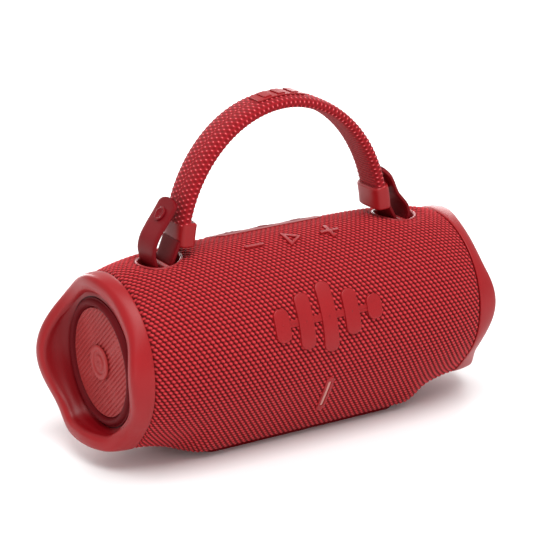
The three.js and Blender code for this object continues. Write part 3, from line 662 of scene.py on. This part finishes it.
# ---- End caps ----
def rim(angle):
    """How far out the cap's crest reaches, and its radius, at angles round the barrel."""
    lobe = np.cos(RIM_LOBES * (angle - RIM_LOBE_TURN))
    below = section_radius(FABRIC_END_X, angle) / barrel_radius(FABRIC_END_X)
    reach = (RIM_X - RIM_LEAN * np.cos(angle) - RIM_DROP * np.sin(angle)
             + RIM_SKEW * np.sin(2 * angle) + RIM_OVAL * np.cos(2 * angle) + RIM_LOBE_REACH * lobe)
    radius = (RIM_RADIUS - RIM_TUCK * np.cos(angle) + RIM_LOBE_HEIGHT * lobe) * below
    return eased_above(reach, RIM_MIN_X, RIM_EASE), radius


def catmull(points, per_span):
    """A smooth curve through points, an array of [point, ...]."""
    p = np.concatenate([2 * points[:1] - points[1:2], points, 2 * points[-1:] - points[-2:-1]])
    out = []
    for i in range(1, len(p) - 2):
        for t in np.arange(per_span) / per_span:
            out.append(0.5 * (2 * p[i] + (p[i + 1] - p[i - 1]) * t
                              + (2 * p[i - 1] - 5 * p[i] + 4 * p[i + 1] - p[i + 2]) * t ** 2
                              + (3 * p[i] - p[i - 1] - 3 * p[i + 1] + p[i + 2]) * t ** 3))
    out.append(p[-2])
    return np.array(out)


def end_cap(name):
    """A ring with a lobed crest: its outer skin, crest, recess wall and flat back."""
    a = np.arange(CAP_POINTS) / CAP_POINTS * FULL_TURN
    rim_x, rim_r = rim(a)
    skin = section_radius(FABRIC_END_X, a)
    one = np.ones_like(a)

    def ring(x, r):
        return np.stack([x * one, r * one], -1)

    def skin_ring(part, bulge):
        x = CAP_START_X + (rim_x - CAP_SHOULDER_SETBACK - CAP_START_X) * part
        return ring(x, skin + (rim_r - skin) * part + bulge)

    lip_x = np.maximum(rim_x - LIP_SETBACK, THROAT_X + 0.3)
    lip_r = eased_above(rim_r - LIP_DEPTH, LIP_MIN_RADIUS, LIP_EASE)
    rings = [skin_ring(0, -0.9), skin_ring(0.02, -0.1), skin_ring(0.12, 0.25),
             skin_ring(0.35, 0.5), skin_ring(0.7, 0.5), skin_ring(1, 0)]
    rings += [ring(rim_x - 0.2, rim_r - 1.6), ring(rim_x, rim_r - 3.6), ring(rim_x - 0.5, rim_r - 5.6)]
    rings.append(ring(lip_x, lip_r))
    for t in (0.3, 0.65, 0.93, 1.0):
        rings.append(ring(lip_x + (THROAT_X - lip_x) * t,
                          lip_r + (RECESS_RADIUS - lip_r) * t ** WALL_CURVE))
    back = [ring(THROAT_X, 35.3), ring(CAP_START_X, 37), ring(CAP_START_X, skin - 1.6)]
    rings = np.concatenate([catmull(np.array(rings), 5), np.array(back)])
    x, r = rings[..., 0], rings[..., 1]
    lowered = smoothstep(x - THROAT_X, 6.0, 0.0) * (r < 35.5)
    z = AXIS_Z + (RADIATOR_Z - AXIS_Z) * lowered
    cap = loft(name, np.stack([x, -r * np.cos(a), z + r * np.sin(a)], -1), closes_on_itself=True)
    # Painted shade mask: the depth attribute rises from the recess's lip inward, and the cap's colour
    # darkens with it.
    store(cap, "depth", smoothstep(lip_r + 1.0 - r, 0.0, 1.6))
    return cap


def make_end_caps():
    right = end_cap("end_cap_right_skin")
    left = mirrored(right, "end_cap_left_skin")
    show(right, "barrel", "cap_red", "soft_red", "end_cap_right")
    show(left, "barrel", "cap_red", "soft_red", "end_cap_left")


# ---- Passive radiators ----
DISC_FACE_RINGS = 118
DISC_FACE_RADIUS = 26.1
DISC_EDGE = [(26.4, 0.1), (26.6, 0.4), (26.6, 0.7), (26.4, 0.8), (24.6, 0.8), (24.6, 3.0)]


def about_x(across, aside, height):
    return np.stack([height, across, RADIATOR_Z + aside], -1)


def radiator_disc(name):
    """A disc with slanting, shingled grooves cut across its face."""
    a = np.arange(360) / 360 * FULL_TURN
    edge_radii, edge_drops = np.array(DISC_EDGE).T
    radii = np.concatenate([np.linspace(0.15, DISC_FACE_RADIUS, DISC_FACE_RINGS), edge_radii])
    heights = np.concatenate([np.full(DISC_FACE_RINGS, RADIATOR_X), RADIATOR_X - edge_drops])
    r, a = np.meshgrid(radii, a, indexing="ij")
    y, z = r * np.cos(a), r * np.sin(a)
    slant = math.radians(GROOVE_SLANT)
    across = (z * math.cos(slant) + y * math.sin(slant)) / GROOVE_PITCH
    along_shingle = across - np.floor(across)
    step_up = smoothstep(along_shingle, 0.0, 0.16)
    shingle = step_up * (1 - 0.45 * smoothstep(along_shingle, 0.3, 0.98))
    on_face = heights[:, None] >= RADIATOR_X
    x = heights[:, None] - GROOVE_DEPTH * (1 - shingle) * on_face
    return loft(name, np.stack([x, y, RADIATOR_Z + z], -1))


def radiator_roll(name):
    """The half-round rubber surround between the disc and the recess."""
    seat = RADIATOR_X - 1
    profile = [(31.6, 0), (31.6, 0.7), (30.9, 0.8), (30.3, 1.9), (29.6, 2.5), (28.9, 2.65),
               (28.2, 2.5), (27.5, 1.9), (26.9, 0.1), (25, -0.2), (25, -0.9), (27.6, -0.9),
               (28.1, 1.3), (28.9, 1.8), (29.7, 1.3), (30.2, 0)]
    raised = [(r, seat + height) for r, height in profile]
    return turned(name, rounded_profile(raised, 0.5, 4, closed=True), about_x, 144)


def radiator_badge(name):
    """A plain round boss with one ring sunk in it."""
    base = RADIATOR_X + 0.3
    profile = [(0.001, 1.1), (3.6, 1.1), (4.1, 0.4), (5.4, 0.4), (6.0, 1.1), (8.0, 1.1),
               (8.5, 0.7), (8.5, -0.2), (0.001, -0.2)]
    raised = [(r, base + height) for r, height in profile]
    return turned(name, rounded_profile(raised, 0.3, 3), about_x)


def make_radiators():
    makers = [
        (radiator_disc, "right_radiator", "disc_red", "red_plastic", "radiator_diaphragm"),
        (radiator_badge, "right_radiator", "disc_red", "red_plastic", "radiator_emblem"),
        (radiator_roll, "barrel", "throat_shade_red", "black_rubber", "radiator_surround"),
    ]
    for make, body, material, slot, stands_for in makers:
        right = make(f"{make.__name__}_right")
        left = mirrored(right, f"{make.__name__}_left")
        show(right, body, material, slot, stands_for + "_right")
        show(left, body.replace("right", "left"), material, slot, stands_for + "_left")


# ---- Strap ----
def pulled(toward_right):
    """The soft strap stands a little to the left, most of all at its right foot."""
    return -STRAP_PULL * (1 + toward_right) / 2


def strap_centre(t):
    """The arch's middle line: t is 0 at the right foot and half a turn at the left."""
    x = STRAP_HALF_SPAN * np.cos(t) + pulled(np.cos(t))
    return np.stack([x, 0 * t, STRAP_BASE_Z + STRAP_RISE * np.sin(t)], -1)


def superellipse(count, squareness):
    """Points round an oval that gets squarer as squareness grows."""
    a = (np.arange(count) + 0.5) / count * FULL_TURN
    c, s = np.cos(a), np.sin(a)
    return np.sign(c) * np.abs(c) ** (2 / squareness), np.sign(s) * np.abs(s) ** (2 / squareness)


def even_section(thick, wide, squareness, step):
    """Points evenly spaced round a rounded band section, as (out, across)."""
    c, s = superellipse(2000, squareness)
    p = np.stack([c * thick / 2, s * wide / 2], -1)
    gaps = np.linalg.norm(np.roll(p, -1, 0) - p, axis=1)
    run = np.concatenate([[0], np.cumsum(gaps)])
    count = int(run[-1] / step)
    at = np.arange(count) / count * run[-1]
    closed = np.vstack([p, p[:1]])
    return np.stack([np.interp(at, run, closed[:, k]) for k in (0, 1)], -1), at


def band_frames(centre):
    """Unit normals, in the XZ plane, of a curve of points."""
    along = np.gradient(centre, axis=0)
    along /= np.linalg.norm(along, axis=1)[:, None]
    return np.stack([along[:, 2], 0 * along[:, 0], -along[:, 0]], -1)


def swept(name, centre, thick, wide, squareness=3.2, count=64, capped=True):
    """A band along a curve. thick and wide may change along it."""
    normal = band_frames(centre)
    c, s = superellipse(count, squareness)
    thick = np.broadcast_to(thick, len(centre))[:, None, None]
    wide = np.broadcast_to(wide, len(centre))[:, None, None]
    rings = centre[:, None, :] + normal[:, None, :] * c[None, :, None] * thick / 2
    rings = rings + np.array([0, 1, 0]) * s[None, :, None] * wide / 2
    return loft(name, rings, capped=capped)


def arch(foot_height, step, samples=4000):
    """Evenly spaced points of the arch, foot to foot, above a height over its base."""
    foot = math.asin(foot_height / STRAP_RISE)
    t = np.linspace(foot, math.pi - foot, samples)
    run = running_length(strap_centre(t))
    at = np.linspace(0, run[-1], int(run[-1] / step) + 1)
    return strap_centre(np.interp(at, run, t)), at


def strap_relief(run, around, inner):
    """Diamond weave with a small bright pip at each crossing, plain ribs on the inner face."""
    weave = np.cos(FULL_TURN * (run / PIP_ALONG)) * np.cos(math.pi * (around / PIP_ACROSS))
    pips = np.clip((weave - 0.55) / 0.45, 0, 1)
    strands = 0.5 + 0.5 * weave
    outer = 0.45 * strands + 0.55 * pips
    ribs = 0.5 + 0.5 * np.cos(run / RIB_PITCH * FULL_TURN)
    breaks = 0.7 + 0.3 * np.cos(around / RIB_BREAK * math.pi + np.floor(run / RIB_PITCH) * math.pi)
    return outer * (1 - inner) + 0.55 * ribs * breaks * inner


def strap_webbing():
    centre, run = arch(FERRULE_TOP - FERRULE_OVERLAP, WEBBING_STEP)
    section, around = even_section(STRAP_THICKNESS, STRAP_WIDTH, 3.0, WEBBING_STEP_AROUND)
    crown = around[np.argmax(section[:, 0] - np.abs(section[:, 1]) * 0.01)]
    inner = smoothstep(-section[:, 0] / (STRAP_THICKNESS / 2), 0.75, 0.95)
    relief = strap_relief(run[:, None], around[None] - crown, inner[None])
    tangent = np.roll(section, -1, 0) - np.roll(section, 1, 0)
    tangent /= np.linalg.norm(tangent, axis=1)[:, None]
    facing = np.stack([tangent[:, 1], -tangent[:, 0]], -1)
    lifted = section[None] + facing[None] * (WEBBING_RELIEF * relief + WEBBING_FLOOR)[..., None]
    rings = centre[:, None, :] + band_frames(centre)[:, None, :] * lifted[..., :1]
    height = (centre[:, 2] - STRAP_BASE_Z) / STRAP_RISE
    spread = 1 + STRAP_SPREAD / STRAP_WIDTH * height[:, None, None]
    rings = rings + np.array([0, 1, 0]) * lifted[..., 1:] * spread
    band = loft("strap_band", rings)
    store(band, "relief", np.concatenate([relief.ravel(), [0, 0]]))
    show(band, "strap", "webbing", "webbing", "strap_webbing")


def strap_ferrule(side):
    """The moulded sleeve that closes a foot of the webbing."""
    centre, run = arch(FERRULE_BOTTOM, 0.3)
    count = int(np.searchsorted(run, FERRULE_TOP - FERRULE_BOTTOM)) + 1
    centre, run = centre[:count], run[:count]
    full = rounded_end(np.minimum(run, run[-1] - run), FERRULE_ROUNDING)
    thick = STRAP_THICKNESS + FERRULE_EDGE[0] + FERRULE_SWELL[0] * full
    wide = STRAP_WIDTH + FERRULE_EDGE[1] + FERRULE_SWELL[1] * full
    return swept(f"strap_ferrule_{side}_cap", centre, thick, wide, 3.6)


def loop_centre(side, count=120):
    """Evenly spaced points of a loop: down from the ferrule, under its bar and up the flap."""
    route = [LOOP_INTO_FERRULE] + LOOP_UNDER_BAR + LOOP_FLAP[side]
    points = np.array([(x, 0, AXIS_Z + z) for x, z in route])
    if side == "right":
        points[:, 0] += pulled(1.0) * smoothstep(points[:, 2] - AXIS_Z, LOOP_PULL_FROM, LOOP_PULL_TO)
    dense = catmull(points, 40)
    run = running_length(dense)
    at = np.linspace(0, run[-1], count)
    return np.stack([np.interp(at, run, dense[:, k]) for k in range(3)], -1), at


def strap_loop(side):
    """A rubber loop with a slight waist, a rounded tip and a thicker end."""
    centre, run = loop_centre(side)
    to_tip = run[-1] - run
    tip = rounded_end(to_tip, LOOP_TIP_ROUNDING, 0.02)
    waist = 1 - LOOP_WAIST * np.exp(-((run - LOOP_WAIST_AT) / LOOP_WAIST_SPAN) ** 2)
    thick = LOOP_THICKNESS + LOOP_TIP_SWELL * np.exp(-(to_tip / LOOP_TIP_SPAN) ** 2)
    return swept(f"strap_loop_{side}_band", centre, thick, LOOP_WIDTH * waist * tip, 6.0, 72)


def stud_place(side):
    """Where a stud's turned profile goes: square to its loop, near the tip."""
    centre, _ = loop_centre(side)
    i = int(STUD_AT * (len(centre) - 1))
    normal = band_frames(centre)[i]
    along = np.cross(normal, [0, 1, 0])

    def place(across, aside, height):
        return (centre[i] + across[..., None] * along + aside[..., None] * np.array([0, 1, 0])
                + height[..., None] * normal)
    return place


def strap_stud(side):
    """A press stud through the loop, with a dished head."""
    near = LOOP_THICKNESS / 2
    profile = rounded_profile([(0.001, -near - 3.0), (3.2, -near - 3.0), (3.5, -near - 2.6),
                               (3.5, -near + 0.05), (2, -near + 0.05), (2, near - 0.05),
                               (3.6, near - 0.05), (3.5, near + 0.9), (2.6, near + 1.0),
                               (2.2, near + 0.6), (0.001, near + 0.55)], 0.3, 3)
    return turned(f"strap_stud_{side}_snap", profile, stud_place(side), 48)


def make_strap():
    strap_webbing()
    makers = [(strap_ferrule, "soft_red", "soft_red"), (strap_loop, "red_rubber", "red_rubber"),
              (strap_stud, "red_rubber", "soft_red")]
    for side in ("right", "left"):
        for make, material, slot in makers:
            piece = make(side)
            if side == "left":
                piece.data.transform(Matrix.Scale(-1, 4, (1, 0, 0)))
                piece.data.flip_normals()
            paint(piece, MATERIALS[material])
            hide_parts(f"{make.__name__}_{side}")
            if make is strap_loop:
                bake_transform(piece)
            else:
                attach(piece, "strap")
    make_strap_badge()


def badge_layer(name, half_turn, shift, low, high, wide, count=40):
    """A rounded band on the strap's crown, between two heights over its middle."""
    middle = math.pi / 2 + shift
    line = strap_centre(np.linspace(middle - half_turn, middle + half_turn, count))
    line = line + band_frames(line) * (low + high) / 2
    steps = np.arange(count)
    full = rounded_end(np.minimum(steps, steps[::-1]), 4, 0.03)
    return swept(name, line, (high - low) * (0.6 + 0.4 * full), wide * (0.75 + 0.25 * full), 5)


def make_strap_badge():
    """A soft plaque on the crown with three plain ribs."""
    lift = STRAP_THICKNESS / 2
    layers = [badge_layer("strap_badge", 0.22, 0, lift - 0.4, lift + 0.8, 10.5)]
    for i, shift in enumerate((-0.12, 0, 0.12)):
        layers.append(badge_layer(f"strap_badge_rib_{i + 1}", 0.036, shift, lift + 0.4, lift + 1.4, 8))
    for layer in layers:
        show(layer, "strap", "soft_red", "soft_red", "strap_emblem")


# ---- Eyelets ----
def eyelet(name):
    """The moulded cup that the loop passes through. Its rim follows the barrel."""
    a = np.arange(144) / 144 * FULL_TURN
    outer = EYELET_RADIUS - 0.5
    rim_steps = [(0, -3.0), (0.25, -0.6), (0.35, 0.15), (0.15, 0.45), (-0.3, 0.55), (-0.8, 0.35),
                 (-1.0, -0.5), (-1.1, -4)]
    cup_steps = [(outer - 1.2, 2.2), (outer - 1.8, 0.6), (outer - 3.2, 0), (0.01, 0)]
    rings = []
    for wider, lift in rim_steps:
        x = EYELET_X + (outer + wider) * np.cos(a)
        y = (outer + wider) * np.sin(a)
        skin = np.sqrt(barrel_radius(x) ** 2 - y ** 2)
        rings.append(np.stack([x, y, AXIS_Z + skin + lift - EYELET_DIP], -1))
    for r, height in cup_steps:
        rings.append(np.stack([EYELET_X + r * np.cos(a), r * np.sin(a),
                               0 * a + EYELET_FLOOR_Z + height], -1))
    return loft(name, rings, capped=False)


def make_eyelets():
    right = eyelet("eyelet_right_cup")
    left = mirrored(right, "eyelet_left_cup")
    show(right, "barrel", "red_plastic", "red_plastic", "eyelet_cup_right")
    show(left, "barrel", "red_plastic", "red_plastic", "eyelet_cup_left")


# ---- Emblem, light, buttons, strip, port, foot ----
def make_front_emblem():
    """Five rounded bars like a level meter, joined by a thin, lower link."""
    for i, height in enumerate(EMBLEM_HEIGHTS):
        x = (i - 2) * EMBLEM_SPACING
        bar = patch(f"emblem_bar_{i + 1}", rounded_rectangle(8.2, height, 3.6), x, EMBLEM_ANGLE,
                    base=-0.5, top=EMBLEM_PROUD, bevel=0.55)
        show(bar, "barrel", "soft_red", "soft_red", "front_emblem")
    link = patch("emblem_link", rounded_rectangle(60, 3.4, 1.6, per_side=60), 0, EMBLEM_ANGLE,
                 base=-0.5, top=EMBLEM_PROUD / 2, bevel=0.3)
    show(link, "barrel", "soft_red", "soft_red", "front_emblem")


def make_status_light():
    """A lens in a narrow raised frame."""
    bezel = patch("status_bezel", rounded_rectangle(4.6, 23, 2.2), LIGHT_X, LIGHT_ANGLE,
                  base=-1.2, top=0.65, bevel=0.35, hollow=rounded_rectangle(1.7, 17.2, 0.8))
    show(bezel, "barrel", "soft_red", "soft_red", "status_light_bezel")
    lens = patch("status_lens", rounded_rectangle(1.6, 17, 0.7), LIGHT_X, LIGHT_ANGLE,
                 base=-1.3, top=0.3, bevel=0.25)
    show(lens, "barrel", "lens", "lens", "status_light_lens")


def play_triangle(scale):
    corners = [(-3.6 * scale, -5.8 * scale), (5.4 * scale, 0), (-3.6 * scale, 5.8 * scale)]
    return polygon_outline(corners, 0.6 * scale, 0.35 * scale)


def icon_outline(kind):
    stroke, size = 1.9, 10.4
    if kind == "volume_down":
        return rounded_rectangle(size, stroke, 0.6)
    if kind == "play":
        return play_triangle(1.0)
    near, far = stroke / 2, size / 2
    quarter = [(-near, -far), (near, -far), (near, -near)]
    plus = []
    for _ in range(4):
        plus += quarter
        quarter = [(-y, x) for x, y in quarter]
    return polygon_outline(plus, 0.4)


def make_buttons():
    for kind, x in (("volume_down", -ICON_SPACING), ("play", 0), ("volume_up", ICON_SPACING)):
        hollow = play_triangle(0.5) if kind == "play" else None
        icon = patch(f"icon_{kind}", icon_outline(kind), x, ICON_ANGLE,
                     base=-3.0, top=ICON_PROUD, bevel=0.3, hollow=hollow)
        show(icon, kind, "soft_red", "soft_red", f"button_{kind}")
    for kind, x in KEYS.items():
        key = patch(f"key_{kind}", rounded_rectangle(KEY_LENGTH, KEY_HEIGHT, KEY_CORNER), x,
                    STRIP_ANGLE, base=-3.0, top=0.7, bevel=0.4, crown=0.1)
        show(key, kind, "red_rubber", "red_rubber", f"button_{kind}")
        for mark in key_marks(kind, x):
            show(mark, kind, "soft_red", "red_rubber", f"button_{kind}")


def key_mark(name, outline, x, up=0.0, proud=0.0, hollow=None):
    """A raised sign on a key, its middle a distance up the skin from the key's."""
    angle = STRIP_ANGLE + math.degrees(up / MID_RADIUS)
    return patch(f"mark_{name}", outline, x, angle, base=MARK_FOOT, top=MARK_TOP + proud,
                 bevel=0.15, hollow=hollow)


def key_marks(kind, x):
    """Plain raised signs: a ring with a stroke, two dots, or three short bars."""
    if kind == "power":
        return [key_mark("power_ring", rounded_rectangle(4.6, 4.6, 2.25), x,
                         hollow=rounded_rectangle(3.2, 3.2, 1.55)),
                key_mark("power_stroke", rounded_rectangle(0.7, 2.2, 0.3), x, up=2.0, proud=0.1)]
    if kind == "link":
        return [key_mark(f"link_{i + 1}", rounded_rectangle(1.6, 1.6, 0.75), x + dx)
                for i, dx in enumerate((-1.6, 1.6))]
    return [key_mark(f"pairing_{i + 1}", rounded_rectangle(0.7, tall, 0.3), x + dx)
            for i, (dx, tall) in enumerate(((-1.8, 1.6), (0, 2.8), (1.8, 4.0)))]


def cut_out(obj, cutter):
    """Takes the cutter's shape out of obj and drops the cutter."""
    modifier = obj.modifiers.new("cut", "BOOLEAN")
    modifier.operation = "DIFFERENCE"
    modifier.solver = "EXACT"
    modifier.object = cutter
    bpy.context.view_layer.objects.active = obj
    bpy.ops.object.modifier_apply(modifier="cut")
    bpy.data.objects.remove(cutter)


def make_strip():
    """The rear control strip, with a pocket for each key."""
    outline = rounded_rectangle(2 * STRIP_HALF_LENGTH, STRIP_HEIGHT, 6, per_side=60)
    strip = patch("control_strip", outline, 0, STRIP_ANGLE, base=-1.2, top=0.6, bevel=0.45, steps=20)
    pocket = rounded_rectangle(KEY_LENGTH + 2 * KEY_GAP, KEY_HEIGHT + 2 * KEY_GAP, KEY_CORNER + KEY_GAP)
    for x in KEYS.values():
        cut_out(strip, patch("cutter", pocket, x, STRIP_ANGLE, base=-4, top=3, bevel=0.1))
    show(strip, "barrel", "soft_red", "red_rubber", "rear_control_strip")


def make_port():
    """The port's panel, with a slot where the plug goes in."""
    outline = rounded_rectangle(PORT_WIDTH, PORT_HEIGHT, 6, per_side=60)
    hole = rounded_rectangle(10.2, 4.4, 2.1, per_side=60)
    panel = patch("port_surround", outline, 0, PORT_ANGLE, base=-1.2, top=0.5, bevel=0.4, hollow=hole)
    show(panel, "barrel", "red_rubber", "red_rubber", "port_panel")


def make_foot():
    """A wide rubber foot whose underside has shallow grooves running round it."""
    outline = rounded_rectangle(2 * FOOT_HALF_LENGTH, 2 * FOOT_HALF_WIDTH, 8, per_side=60)
    layers = [(outline, FOOT_TOP_Z), (outline, FOOT_BEVEL)]
    for t in np.radians([30, 60, 90]):
        layers.append((inset_outline(outline, FOOT_BEVEL * (1 - math.cos(t))),
                       FOOT_BEVEL - FOOT_BEVEL * math.sin(t)))
    face = inset_outline(outline, FOOT_BEVEL)
    centre = face.mean(0)
    for t in np.linspace(0, 1, 90)[1:]:
        off_middle = np.abs(t * FOOT_HALF_WIDTH % GROOVE_SPACING - GROOVE_SPACING / 2)
        groove = FOOT_GROOVE * (1 - smoothstep(off_middle, 0.35, 0.7)) * (t < 0.8)
        layers.append((face + (centre - face) * t * 0.999, groove))
    rings = [np.stack([line[:, 0], line[:, 1], 0 * line[:, 0] + z], -1) for line, z in layers]
    show(loft("foot_pad", rings), "barrel", "red_rubber", "red_rubber", "base_foot")


# ---- CAD pieces that keep their shape ----
def dress_cad_nodes():
    """Gives each CAD piece the material that its slot in the record names."""
    slots = {entry["node"]: entry["material_slot"] for entry in frame["record"]["subparts"]}
    for name, obj in frame["nodes"].items():
        paint(obj, MATERIALS[slots[name]])


# ---- Stage, lights and camera, in metres and degrees ----
CAMERA_AZIMUTH = -31.4
CAMERA_ELEVATION = 19.1
CAMERA_ROLL = -0.3
CAMERA_DISTANCE = 1.138
CAMERA_TARGET = Vector((-0.0044, 0.0032, 0.0786))
FOCAL_LENGTH = 155.0
FLOOR_HALF = 6.0
WORLD_STRENGTH = 0.66
# name, azimuth, elevation, distance, (width, height), power
LIGHTS = [("key", -10, 70, 1.6, (1.4, 1.0), 24),
          ("fill", -35, 4, 1.6, (1.2, 0.6), 2.5),
          ("rim_left", 178, 12, 1.1, (0.3, 0.8), 7),
          ("rim_right", 135, 14, 1.1, (0.4, 0.8), 5)]


def make_stage():
    """A plain pale floor."""
    half = FLOOR_HALF / MM
    corners = [(-half, -half, 0), (half, -half, 0), (half, half, 0), (-half, half, 0)]
    floor = mesh_object("floor", corners, [(0, 1, 2, 3)])
    material, tree, shader = new_material("floor", (0.9, 0.9, 0.9), 0.9)
    pale = [(0.3, (0.88, 0.88, 0.88)), (0.7, (0.92, 0.92, 0.92))]
    tree.links.new(ramp(tree, noise(tree, 3, 2), pale), shader.inputs["Base Color"])
    paint(floor, material)


def area_light(name, azimuth, elevation, distance, size, power):
    data = bpy.data.lights.new(name, "AREA")
    data.shape = "RECTANGLE"
    data.size, data.size_y = size
    data.energy = power
    light = bpy.data.objects.new(name, data)
    bpy.context.scene.collection.objects.link(light)
    light.location = CAMERA_TARGET + direction(azimuth, elevation) * distance
    aim(light, CAMERA_TARGET)


def direction(azimuth, elevation):
    """The unit vector towards an azimuth, 0 in front and 90 to the right, and elevation."""
    a, e = math.radians(azimuth), math.radians(elevation)
    return Vector((math.sin(a) * math.cos(e), -math.cos(a) * math.cos(e), math.sin(e)))


def aim(obj, target, roll=0.0):
    toward = (target - obj.location).to_track_quat("-Z", "Y")
    obj.rotation_mode = "QUATERNION"
    obj.rotation_quaternion = toward @ Matrix.Rotation(math.radians(roll), 4, "Z").to_quaternion()


def make_lights():
    world = bpy.data.worlds.new("studio")
    bpy.context.scene.world = world
    world.use_nodes = True
    background = world.node_tree.nodes["Background"]
    background.inputs["Color"].default_value = (1, 1, 1, 1)
    background.inputs["Strength"].default_value = WORLD_STRENGTH
    for light in LIGHTS:
        area_light(*light)
    bpy.context.scene.view_settings.view_transform = "Standard"


def make_camera():
    data = bpy.data.cameras.new("camera")
    data.lens = FOCAL_LENGTH
    data.sensor_width = 36
    camera = bpy.data.objects.new("camera", data)
    bpy.context.scene.collection.objects.link(camera)
    camera.location = CAMERA_TARGET + direction(CAMERA_AZIMUTH, CAMERA_ELEVATION) * CAMERA_DISTANCE
    aim(camera, CAMERA_TARGET, CAMERA_ROLL)
    bpy.context.scene.camera = camera


make_camera()
make_lights()
make_stage()
dress_cad_nodes()
make_fabric()
make_end_caps()
make_radiators()
make_strap()
make_eyelets()
make_front_emblem()
make_status_light()
make_buttons()
make_strip()
make_port()
make_foot()

bpy.context.view_layer.update()
